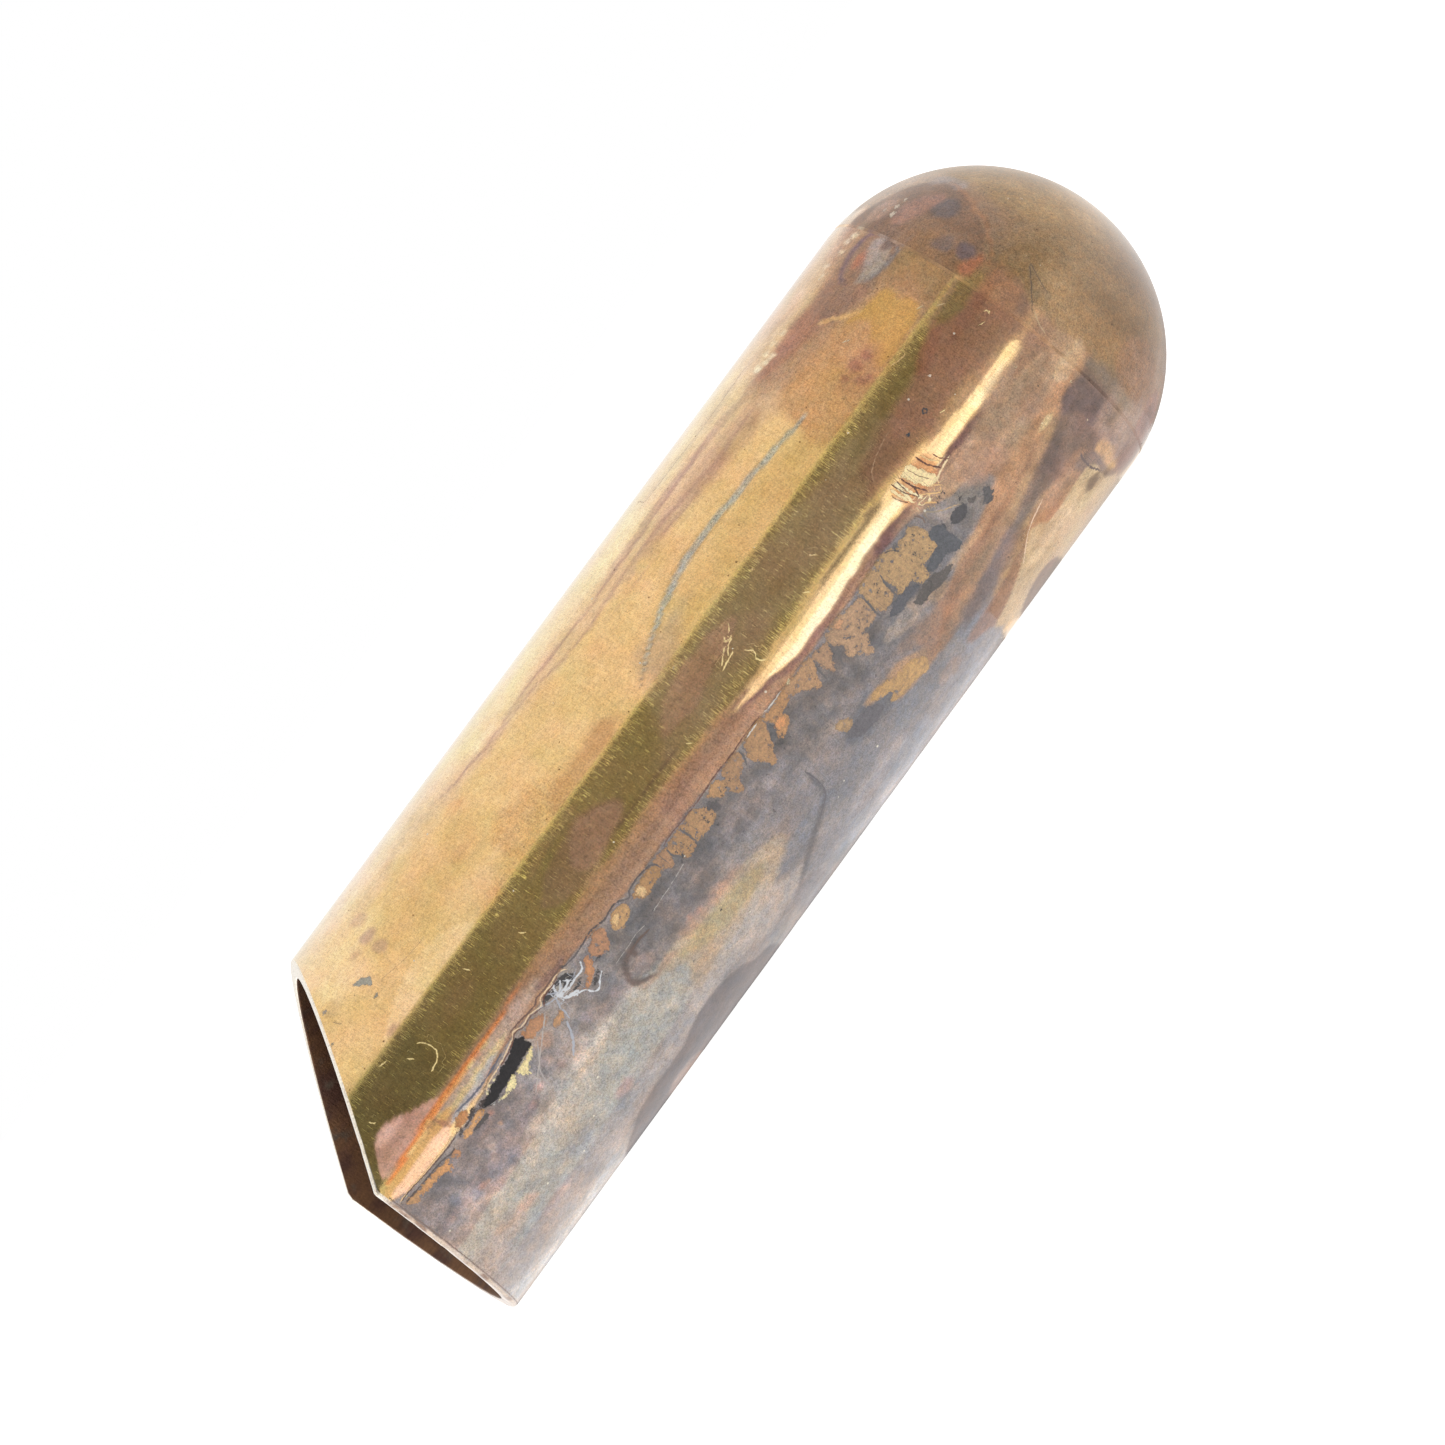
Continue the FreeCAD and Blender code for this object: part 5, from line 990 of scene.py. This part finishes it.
D.blob([(61.9, 2.6), (62.5, -0.6), (63.2, -3.6), (64.1, -7), (63.9, -3.4), (63.5, 0.4), (63.2, 4.6), (62.8, 2)], (150, 124, 92), 0.6, 0.1, 0.04)
D.line("la", [(61.8, 3), (62.2, 1.4), (62.7, -0.6), (63.4, -3.4), (64.1, -6.6)], [0.02, 0.04, 0.035], (104, 84, 62))
D.line("lb", [(63.3, 5.2), (63.4, 2.6), (63.6, -0.2), (63.9, -3.4), (64.15, -6.2)], [0.015, 0.03, 0.03], (112, 90, 66))
D.line("lc", [(61.3, 10), (61.6, 6), (62, 3)], 0.03, (190, 160, 120))
# lighter on the upper front by the seam, darker on the lower front and underside: painted light and shade
side = smooth(D.th, -54, -44) * smooth(-D.th, 4, 10) * smooth(-D.u, -64.2, -62.8)
D.set(slice(None), side, tone=(1.15, 1.15, 1.08))
side = smooth(D.th, -28, -22) * smooth(-D.th, -6, 0) * smooth(-D.u, -63.2, -62.4)
D.set(slice(None), side, tone=(1.10, 1.11, 1.10))
side = smooth(D.th, 58, 76) * smooth(-D.th, -135, -112) * smooth(D.u, 60.9, 61.8) * smooth(-D.u, -69.6, -67)
D.set(slice(None), side, tone=(0.72, 0.66, 0.64))
D.coat -= 0.35 * side
side = smooth(D.th, 4, 14) * smooth(-D.th, -68, -56) * smooth(D.u, 61.9, 62.3) * smooth(-D.u, -66, -64.6)
D.set(slice(None), side, tone=(0.86, 0.85, 0.83))
blotch = noise(D.p, 1.3, 61, 3)
spots = noise(D.p, 0.5, 67, 3, 0.6)
D.col *= 1 + (0.11 * blotch + 0.08 * D.w2 + 0.07 * spots)[:, None] * np.array([0.9, 1.0, 1.25])
for a, b, r_ in ((62.5, -57, .2), (63.1, -58.6, .24), (63.8, -59, .2), (67.5, -27, .1), (67, -30, .08), (63.4, -17, .1), (62.6, -62, .14), (64.4, -9, .06), (66.2, 14, .06), (65.4, 26, .06)):
    D.patch("pale", [(a - r_, b), (a, b - r_ * 5), (a + r_, b), (a, b + r_ * 5)], (214, 192, 168), 0.05)
for a, b, r_ in ((64.6, 10, .05), (62.9, 21, .06), (66, 2, .05), (65, -14, .05), (67.4, 12, .06), (64.2, 31, .06)):
    D.patch("dark", [(a - r_, b), (a, b - r_ * 5), (a + r_, b), (a, b + r_ * 5)], (96, 74, 54), 0.03)


# ---------------------------------------------------------------------------
# materials
# ---------------------------------------------------------------------------
class Graph:
    def __init__(self, name):
        self.mat = bpy.data.materials.new(name)
        self.mat.use_nodes = True
        self.t = self.mat.node_tree
        self.t.nodes.clear()
        self.pos = self.flat = None

    def new(self, kind, **props):
        n = self.t.nodes.new(kind)
        for k, v in props.items():
            setattr(n, k, v)
        return n

    def put(self, socket, value):
        if isinstance(value, bpy.types.NodeSocket):
            self.t.links.new(value, socket)
        elif value is not None:
            if socket.type == "RGBA" and len(value) == 3:
                value = (*value, 1.0)
            socket.default_value = value

    def math(self, op, a, b=None, c=None, clamp=False):
        n = self.new("ShaderNodeMath", operation=op, use_clamp=clamp)
        for s, v in zip(n.inputs, (a, b, c)):
            self.put(s, v)
        return n.outputs[0]

    def mul(self, a, b):
        return self.math("MULTIPLY", a, b)

    def add(self, a, b):
        return self.math("ADD", a, b)

    def step(self, x, lo, hi, a=0.0, b=1.0):
        n = self.new("ShaderNodeMapRange", interpolation_type="SMOOTHSTEP", clamp=True)
        for s, v in zip(n.inputs, (x, lo, hi, a, b)):
            self.put(s, v)
        return n.outputs[0]

    def mixf(self, f, a, b):
        n = self.new("ShaderNodeMix", data_type="FLOAT")
        self.put(n.inputs[0], f), self.put(n.inputs[2], a), self.put(n.inputs[3], b)
        return n.outputs[0]

    def mixc(self, f, a, b, blend="MIX"):
        n = self.new("ShaderNodeMix", data_type="RGBA", blend_type=blend)
        self.put(n.inputs[0], f), self.put(n.inputs[6], a), self.put(n.inputs[7], b)
        return n.outputs[2]

    def attr(self, name):
        n = self.new("ShaderNodeAttribute", attribute_type="GEOMETRY", attribute_name=name)
        return n.outputs["Color"], n.outputs["Alpha"], n.outputs["Vector"]

    def xyz(self, v):
        n = self.new("ShaderNodeSeparateXYZ")
        self.put(n.inputs[0], v)
        return n.outputs[0], n.outputs[1], n.outputs[2]

    def coords(self, sx, sy, sz, shift=(0, 0, 0)):
        """The surface point, scaled to so many features a millimetre."""
        if self.pos is None:
            self.pos = self.new("ShaderNodeNewGeometry").outputs["Position"]
        n = self.new("ShaderNodeMapping")
        self.put(n.inputs["Vector"], self.pos)
        n.inputs["Scale"].default_value = (sx * 1000, sy * 1000, sz * 1000)
        n.inputs["Location"].default_value = shift
        return n.outputs[0]

    def noise(self, sx, sy=None, sz=None, detail=3.0, rough=0.5, distort=0.0, shift=(0, 0, 0)):
        n = self.new("ShaderNodeTexNoise")
        self.put(n.inputs["Vector"], self.coords(sx, sx if sy is None else sy, sx if sz is None else sz, shift))
        n.inputs["Scale"].default_value = 1.0
        n.inputs["Detail"].default_value = detail
        n.inputs["Roughness"].default_value = rough
        n.inputs["Distortion"].default_value = distort
        return n.outputs["Fac"]

    def drawn(self, su, sv, detail=2.0, rough=0.5, shift=(0, 0, 0), out="Fac"):
        """Noise laid out along the axis (u) and round it (v), features a millimetre."""
        if self.flat is None:
            self.flat = self.attr("flat")[2]
        m = self.new("ShaderNodeMapping")
        self.put(m.inputs["Vector"], self.flat)
        m.inputs["Scale"].default_value = (su, sv, 1.0)
        m.inputs["Location"].default_value = shift
        n = self.new("ShaderNodeTexNoise")
        self.put(n.inputs["Vector"], m.outputs[0])
        n.inputs["Scale"].default_value = 1.0
        n.inputs["Detail"].default_value = detail
        n.inputs["Roughness"].default_value = rough
        return n.outputs[out]

    def cells(self, scale, shift=(0, 0, 0), feature="F1", rnd=1.0):
        n = self.new("ShaderNodeTexVoronoi", feature=feature)
        self.put(n.inputs["Vector"], self.coords(scale, scale, scale, shift))
        n.inputs["Scale"].default_value = 1.0
        n.inputs["Randomness"].default_value = rnd
        return n.outputs["Distance"], n.outputs["Color"]

    def grey(self, v):
        n = self.new("ShaderNodeCombineColor")
        for s in n.inputs:
            self.put(s, v)
        return n.outputs[0]

    def finish(self, colour, metal, rough, height, depth, spec=0.5, coat=0.0, bump=1.0):
        b = self.new("ShaderNodeBsdfPrincipled")
        self.put(b.inputs["Base Color"], colour)
        self.put(b.inputs["Metallic"], metal)
        self.put(b.inputs["Roughness"], rough)
        self.put(b.inputs["Specular IOR Level"], spec)
        self.put(b.inputs["Coat Weight"], coat)
        b.inputs["Coat Roughness"].default_value = 0.3
        if height is not None:
            n = self.new("ShaderNodeBump")
            n.inputs["Strength"].default_value = bump
            n.inputs["Distance"].default_value = depth
            self.put(n.inputs["Height"], height)
            self.put(b.inputs["Normal"], n.outputs[0])
        o = self.new("ShaderNodeOutputMaterial")
        self.put(o.inputs[0], b.outputs[0])
        return self.mat


def aged_metal(name, shift):
    """Brass under its tarnish: the painted skin plus grain too fine for the mesh."""
    G = Graph(name)
    paint, metal, _ = G.attr("paint")
    rough, grain, mottle = G.xyz(G.attr("surf")[2])
    hair, brush, coat = G.xyz(G.attr("wear_and_glint")[2])
    cloud = G.noise(0.9, detail=4, rough=0.55, shift=shift)
    fine = G.noise(4.5, detail=4, rough=0.65, shift=shift)
    grit = G.noise(11.0, detail=3, rough=0.85, shift=shift)
    tint = G.noise(2.1, detail=3, shift=(shift[0] + 9, 4, 2))
    lathe = G.drawn(17.0, 0.45, detail=2, rough=0.6, shift=shift)
    along = G.drawn(0.14, 3.6, detail=4, rough=0.62, shift=shift)
    # uneven colour: clouds, grain and fine lines round and along the tube
    v = G.mul(G.math("SUBTRACT", cloud, 0.5), 1.0)
    v = G.add(v, G.mul(G.math("SUBTRACT", fine, 0.5), 1.35))
    v = G.mul(v, mottle)
    v = G.add(v, G.mul(G.math("SUBTRACT", fine, 0.5), 0.34))
    v = G.add(v, G.mul(G.math("SUBTRACT", grit, 0.5), G.math("MULTIPLY_ADD", mottle, 3.0, 0.85)))
    lines = G.add(G.mul(G.math("SUBTRACT", lathe, 0.5), 0.85), G.mul(G.math("SUBTRACT", along, 0.5), 0.34))
    v = G.add(v, G.mul(lines, brush))
    colour = G.mixc(1.0, paint, G.grey(G.add(v, 1.0)), "MULTIPLY")
    warm = G.mixc(G.step(tint, 0.38, 0.62), (1.07, 0.99, 0.88), (0.94, 1.01, 1.12))
    colour = G.mixc(G.math("MULTIPLY_ADD", mottle, 0.9, 0.0, clamp=True), colour, G.mixc(1.0, colour, warm, "MULTIPLY"))
    # specks of other colours, as fine as the grain
    dots = G.new("ShaderNodeTexNoise")
    G.put(dots.inputs["Vector"], G.coords(7.5, 7.5, 7.5, (shift[0], 2, 6)))
    dots.inputs["Scale"].default_value = 1.0
    dots.inputs["Detail"].default_value = 2.0
    dots.inputs["Roughness"].default_value = 0.7
    speck = G.mixc(1.0, dots.outputs["Color"], (1.6, 1.6, 1.6), "MULTIPLY")
    speck = G.mixc(1.0, speck, (0.2, 0.2, 0.2), "ADD")
    colour = G.mixc(G.math("MULTIPLY_ADD", mottle, 0.2, 0.02, clamp=True), colour, G.mixc(1.0, colour, speck, "MULTIPLY"))
    height = G.mul(grain, G.add(G.mul(fine, 1.0), G.mul(grit, 0.7)))
    height = G.add(height, G.mul(G.mul(lathe, brush), 0.02))
    r = G.add(rough, G.mul(G.math("SUBTRACT", fine, 0.5), G.mul(rough, 0.5)))
    r = G.add(r, G.mul(G.mul(G.math("SUBTRACT", lathe, 0.5), brush), 0.05))

    # fine scratches round the tube, painted lighter: painted glints
    glint_tick = G.drawn(25.0, 1.5, detail=1, rough=0.4, shift=(3, shift[0], 1))
    glint_tick = G.mul(G.step(glint_tick, G.mixf(hair, 0.78, 0.61), G.mixf(hair, 0.84, 0.665)), 0.9)
    faint_glint = G.drawn(27.0, 1.1, detail=1, rough=0.6, shift=(8, shift[0] + 4, 2))
    faint_glint = G.mul(G.mul(G.step(faint_glint, 0.47, 0.68), hair), 0.34)
    glint_tick = G.math("MAXIMUM", glint_tick, faint_glint)
    colour = G.mixc(glint_tick, colour, G.mixc(1.0, colour, (1.2, 1.36, 1.12), "MULTIPLY"))
    r = G.mixf(glint_tick, r, 0.6)
    metal = G.mixf(glint_tick, metal, 0.45)

    # ragged patches with sharp edges
    ragged = G.mul(G.math("SUBTRACT", G.noise(3.4, detail=5, rough=0.72, shift=(1, shift[1], 5)), 0.5), 0.68)
    ragged = G.add(ragged, G.mul(G.math("SUBTRACT", grit, 0.5), 0.22))
    holes = G.noise(2.6, detail=5, rough=0.72, shift=(9, shift[1], 3))
    specular = 0.5
    for layer, edge, lift, rgh, mtl, spc, worn in (("flake", 0.78, 0.35, 0.48, 0.2, 0.4, 0.10), ("dark", 0.9, -0.2, 0.6, 0.0, 0.12, 0.0), ("pale", 0.9, 0.45, 0.6, 0.0, 0.4, 0.0)):
        c, a, _ = G.attr("c_" + layer)
        sd = G.add(G.math("MULTIPLY_ADD", a, 2.0, -1.0), ragged)
        if worn:
            sd = G.math("MINIMUM", sd, G.mul(G.math("SUBTRACT", 0.61, holes), 1.2))
        on = G.step(sd, -0.02, 0.03)
        rimmed = G.math("SUBTRACT", 1.0, G.mul(G.math("SUBTRACT", 1.0, G.step(sd, 0.0, 0.16)), 1 - edge))
        tone = G.mul(rimmed, G.add(1.0, G.add(G.mul(G.math("SUBTRACT", fine, 0.5), 1.0), G.mul(G.math("SUBTRACT", grit, 0.5), 1.6))))
        tone = G.mul(tone, G.add(1.0, G.mul(G.math("SUBTRACT", cloud, 0.5), 0.5)))
        own = G.mixc(1.0, c, G.grey(tone), "MULTIPLY")
        own = G.mixc(0.12, own, G.mixc(1.0, own, speck, "MULTIPLY"))
        colour = G.mixc(on, colour, own)
        r = G.mixf(on, r, rgh)
        metal = G.mixf(on, metal, mtl)
        specular = G.mixf(on, specular, spc)
        height = G.add(height, G.mul(G.step(sd, -0.05, 0.06), lift))

    # drawn scratches and cracks
    wander = G.mul(G.math("SUBTRACT", G.noise(5.0, detail=4, rough=0.7, shift=(2, 2, shift[0])), 0.5), 0.16)
    skip = G.noise(4.5, detail=3, rough=0.6, shift=(7, shift[0], 1))
    for layer in ("la", "lb", "lc"):
        c = G.attr("k_" + layer)[0]
        d, hw, _ = G.xyz(G.attr("d_" + layer)[2])
        off = G.math("ABSOLUTE", G.add(d, wander))
        hw = G.mul(hw, G.step(skip, 0.30, 0.56, 0.25, 1.15))
        on = G.math("SUBTRACT", 1.0, G.step(off, G.add(hw, -0.025), G.add(hw, 0.02)))
        on = G.mul(on, G.step(hw, 0.004, 0.016))
        colour = G.mixc(on, colour, c)
        r = G.mixf(on, r, 0.55)
        metal = G.mixf(on, metal, 0.1)
        height = G.add(height, G.mul(on, G.math("MULTIPLY_ADD", G.xyz(c)[1], 0.8, -0.18)))

    # dust and pinholes
    d, rnd = G.cells(1.1, shift)
    keep = G.xyz(rnd)[0]
    size = G.mul(G.step(keep, 0.72, 1.0), 0.085)
    dust = G.mul(G.math("LESS_THAN", d, size), G.math("GREATER_THAN", keep, 0.72))
    colour = G.mixc(G.mul(dust, 0.75), colour, (0.80, 0.74, 0.60))
    r = G.mixf(dust, r, 0.6)
    metal = G.mixf(dust, metal, 0.2)
    d, rnd = G.cells(1.7, (shift[0] + 3, 8, 1))
    keep = G.xyz(rnd)[1]
    size = G.mul(G.step(keep, 0.7, 1.0), 0.11)
    pit = G.mul(G.math("LESS_THAN", G.add(d, G.mul(G.math("SUBTRACT", grit, 0.5), 0.12)), size), G.math("GREATER_THAN", keep, 0.7))
    colour = G.mixc(G.mul(pit, 0.6), colour, G.mixc(1.0, colour, (0.34, 0.26, 0.22), "MULTIPLY"))
    r = G.mixf(pit, r, 0.6)
    return G.finish(colour, metal, r, height, 0.00003, spec=specular, coat=coat)


def bore_metal(name):
    """Inside: never polished, dark brown with some olive and grey."""
    G = Graph(name)
    cloud = G.noise(0.35, 0.6, 0.6, detail=5, rough=0.6)
    fine = G.noise(6.0, detail=4, rough=0.6)
    drawn = G.noise(0.2, 5.0, 5.0, detail=3)
    lathe = G.noise(9.0, 0.8, 0.8, detail=2)
    colour = G.mixc(G.step(cloud, 0.38, 0.62), tuple(srgb(92, 62, 50)), tuple(srgb(122, 88, 62)))
    colour = G.mixc(G.step(G.noise(0.8, detail=3, shift=(4, 4, 4)), 0.56, 0.74), colour, tuple(srgb(104, 88, 74)))
    v = G.add(G.mul(G.math("SUBTRACT", fine, 0.5), 0.7), G.mul(G.math("SUBTRACT", drawn, 0.5), 0.5))
    colour = G.mixc(1.0, colour, G.grey(G.add(v, 1.0)), "MULTIPLY")
    height = G.add(G.mul(fine, 0.6), G.mul(lathe, 0.25))
    return G.finish(colour, G.step(cloud, 0.3, 0.8, 0.35, 0.8), G.add(0.38, G.mul(fine, 0.2)), height, 0.00004, spec=0.3)


def glow(name, colour, strength, diffuse=None):
    G = Graph(name)
    e = G.new("ShaderNodeEmission")
    e.inputs[0].default_value = (*colour, 1)
    e.inputs[1].default_value = strength
    out = e.outputs[0]
    if diffuse:
        d = G.new("ShaderNodeBsdfDiffuse")
        d.inputs[0].default_value = (diffuse, diffuse, diffuse, 1)
        s = G.new("ShaderNodeAddShader")
        G.put(s.inputs[0], out), G.put(s.inputs[1], d.outputs[0])
        out = s.outputs[0]
    G.put(G.new("ShaderNodeOutputMaterial").inputs[0], out)
    return G.mat


# ---------------------------------------------------------------------------
# pieces
# ---------------------------------------------------------------------------
tube_mat = aged_metal("aged_brass_skin", (0.0, 0.0, 0.0))
dome_mat = aged_metal("aged_brass_cap_skin", (31.0, 12.0, 5.0))
bore_mat = bore_metal("aged_brass_bore")
ring_mat = aged_metal("silver_solder_ring", (17.0, 3.0, 9.0))


def rows_to_points(rows, theta):
    return np.vstack([place(np.broadcast_to(u, theta.shape), np.broadcast_to(r, theta.shape) * 1.0, theta) for u, r in rows])


# tube: outer wall, butt, lap, bore, open end
H = (tube_skin.h.reshape(outer_u.shape) * smooth(outer_u - U_FROM[None, :], 0.0, 0.5))
r = np.minimum(outer_r + H, R - 0.003 + (outer_r - R0))
rows = [(outer_u[k], r[k]) for k in range(len(g))]
n_outer = len(rows)
rows += [(SEAM_A, R - LAP_WALL), (LAP, R - LAP_WALL), (LAP, R_IN)]
bore = np.linspace(1, 0, 40)[1:]
rows += [(U_BORE + (LAP - U_BORE) * b, np.full(M, R_IN)) for b in bore[:-1]]
n_in = len(rows)
ends = [(q[:, 0], q[:, 1]) for q in reversed(inner_edge)] + [
    (outer_edge[-1][:, 0] * f + inner_edge[0][:, 0] * (1 - f), outer_edge[-1][:, 1] * f + inner_edge[0][:, 1] * (1 - f)) for f in (1 / 3, 2 / 3)
] + [(q[:, 0], q[:, 1]) for q in reversed(outer_edge[1:])]
nick = 0.05 * np.clip(noise(np.stack([TH * ARC, 0 * TH, 0 * TH], -1), 0.9, 41, 2) - 0.45, 0, 1)
rows += [(a + nick, b) for a, b in ends]
pts = rows_to_points(rows, TH)
quads = ring_quads(len(rows), M, True)
row_of = quads[:, 0] // M
slot_of = np.where((row_of >= n_outer) & (row_of < n_in + 2), 1, 0)
tube = make("slide_body", pts, quads, [], [tube_mat, bore_mat], slot_of.astype(np.int32))

# the open end's cut faces take the skin's material: bare metal, the slanted face painted near white as a painted
# highlight and the square face painted greyer as painted shade
n_rim = len(ends)
rim = Skin(np.concatenate([a for a, b in ends]), np.tile(TH, n_rim), pts[-n_rim * M:])
rim.col[:] = srgb(240, 228, 210)
rim.rough[:] = 0.3
square = smooth(rim.th, 2, 10) * smooth(-rim.th, -172, -150)
rim.set(slice(None), square, (196, 178, 162))
rim.set(slice(None), square * smooth(rim.w2, 0.1, 0.5), (150, 124, 108))
rim.hair[:] = 0
rim.mottle[:] = 0.35


def join_skins(mesh, *parts):
    """Writes several skins to the points each one covers."""
    whole = Skin.__new__(Skin)
    n = len(mesh.vertices)
    for key in ("x", "y", "col", "metal", "rough", "grain", "mottle", "hair", "brush", "coat"):
        like = getattr(parts[0][0], key)
        out = np.zeros((n,) + like.shape[1:])
        for s, i in parts:
            out[i] = getattr(s, key)
        setattr(whole, key, out)
    whole.crisp, whole.lines = {}, {}
    for k in parts[0][0].crisp:
        d, c = np.full(n, -1.0), np.zeros((n, 3))
        for s, i in parts:
            d[i], c[i] = s.crisp[k]
        whole.crisp[k] = (d, c)
    for k in parts[0][0].lines:
        d, w, c = np.full(n, 1.0), np.zeros(n), np.zeros((n, 3))
        for s, i in parts:
            d[i], w[i], c[i] = s.lines[k]
        whole.lines[k] = (d, w, c)
    whole.write(mesh)


n_skin = n_outer * M
join_skins(tube.data, (tube_skin, slice(0, n_skin)), (rim, slice(len(pts) - n_rim * M, len(pts))))

# dome: outer ball, shoulder, skirt, inner ball
K = len(DTH)
HD = dome_skin.h[:-1].reshape(dome_u.shape)
scale = np.minimum(1 + HD / R0, (R - 0.003) / R0)
outer = place(STRAIGHT + (dome_u - STRAIGHT) * scale, dome_r * scale, dome_th)[::-1].reshape(-1, 3)
tail = [(SEAM_B, R - LAP_WALL - 0.08), (LAP + 0.1, R - LAP_WALL - 0.08), (LAP + 0.1, R_CAP), ((LAP + STRAIGHT) / 2, R_CAP)]
psi = np.linspace(90, 0, 34)[:-1] * RAD
tail += [(STRAIGHT + R_CAP * math.cos(a), R_CAP * math.sin(a)) for a in psi]
inner = rows_to_points(tail, DTH)
pts = np.vstack([pole, outer, inner, [[X_OPEN + STRAIGHT + R_CAP, 0, R]]])
n_rows = len(phi) + len(tail)
quads = ring_quads(n_rows, K, False, True) + 1
fan = [(0, 1 + j, 1 + (j + 1) % K) for j in range(K)]
last = 1 + (n_rows - 1) * K
fan += [(len(pts) - 1, last + (j + 1) % K, last + j) for j in range(K)]
slot_of = np.concatenate([np.where((quads[:, 0] - 1) // K >= len(phi) - 1, 1, 0), np.zeros(K), np.ones(K)]).astype(np.int32)
dome = make("cap_dome", pts, quads, fan, [dome_mat, bore_mat], slot_of)
idx = np.concatenate([1 + (np.arange(len(phi))[::-1, None] * K + np.arange(K)[None, :]).ravel(), [0]])
join_skins(dome.data, (dome_skin, idx))

# solder ring
bead = [(SEAM_A, 0.002), (SEAM_A + 0.05, 0.006), ((SEAM_A + SEAM_B) / 2, 0.008), (SEAM_B - 0.05, 0.006), (SEAM_B, 0.002)]
ro, rl = R - LAP_WALL, R - LAP_WALL - 0.08
wav = 0.003 * noise(place(np.full(K, 61.0), np.full(K, R0), DTH), 0.8, 21, 2)
rows = [(u, ball(np.full(K, u), R0) + b + (wav if b else 0)) for u, b in bead]
rows += [(SEAM_B, rl), (LAP + 0.1, rl), (LAP + 0.1, R_IN), (LAP, R_IN), (LAP, ro), (SEAM_A, ro)]
pts = rows_to_points(rows, DTH)
ring = make("solder_ring", pts, ring_quads(len(rows), K, True), [], [ring_mat])
# outside, the solder has taken on the tarnish of the metal beside it
bead_skin = Skin(np.repeat([u for u, _ in rows], K) * 1.0, np.tile(DTH, len(rows)), pts)
n_bead = len(bead) * K
for k in range(3):
    beside = 0.5 * at_seam(S.col[:, k], DTH) + 0.5 * dome_skin.col[:K, k]
    bead_skin.col[:n_bead, k] = np.tile(beside, len(bead))
bead_skin.col[n_bead:] = srgb(168, 152, 134)
bead_skin.col *= 1 + (0.14 + 0.20 * bead_skin.w2 - 0.16 * smooth(bead_skin.th, -24, -10))[:, None]
bead_skin.metal[:], bead_skin.rough[:], bead_skin.hair[:] = 0.6, 0.42, 0
join_skins(ring.data, (bead_skin, slice(0, len(pts))))

for ob, node, slot in ((tube, "slide_tube", "aged_brass"), (dome, "dome_cap", "aged_brass_cap"), (ring, "solder_seam", "silver_solder")):
    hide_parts(node)
    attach(ob, "root")

# ---------------------------------------------------------------------------
# floor, light and camera
# ---------------------------------------------------------------------------
def card(name, corners, mat, seen=True):
    mesh = bpy.data.meshes.new(name)
    mesh.from_pydata(corners, [], [tuple(range(len(corners)))])
    mesh.materials.append(mat)
    ob = bpy.data.objects.new(name, mesh)
    bpy.context.scene.collection.objects.link(ob)
    ob.visible_camera = seen
    return ob


card("floor", [(-3, -3, 0), (3, -3, 0), (3, 3, 0), (-3, 3, 0)], glow("floor_white", (1, 1, 1), 1.02, 0.42))
# dark cards that only the metal sees: the unlit room in front of the slide
dim = glow("dark_card", (1, 1, 1), 0.27)
top = 0.011 + 1.2 * math.tan(math.radians(41.4))
card("flag_room", [(-6, -1.2, 0.0), (6, -1.2, 0.0), (6, -1.2, top), (-6, -1.2, top)], dim, False)
card("flag_floor", [(-6, -1.2, 0.0006), (6, -1.2, 0.0006), (6, -0.128, 0.0006), (-6, -0.128, 0.0006)], dim, False)

world = bpy.data.worlds.new("studio")
world.use_nodes = True
bg = world.node_tree.nodes["Background"]
bg.inputs[0].default_value = (1, 1, 1, 1)
bg.inputs[1].default_value = 1.0
bpy.context.scene.world = world
bpy.context.scene.view_settings.view_transform = "Standard"

cam = bpy.data.cameras.new("view")
cam.lens, cam.sensor_width = 185.21, 36.0
cam.clip_start = 0.01
cam_ob = bpy.data.objects.new("view", cam)
bpy.context.scene.collection.objects.link(cam_ob)
right, up, fwd = Vector((0.588221, -0.119044, -0.799890)), Vector((0.798550, -0.070718, 0.597760)), Vector((0.127726, 0.990367, -0.053465))
cam_ob.matrix_world = Matrix((
    (right.x, up.x, -fwd.x, -0.055854),
    (right.y, up.y, -fwd.y, -0.421823),
    (right.z, up.z, -fwd.z, 0.033006),
    (0, 0, 0, 1)))
bpy.context.scene.camera = cam_ob
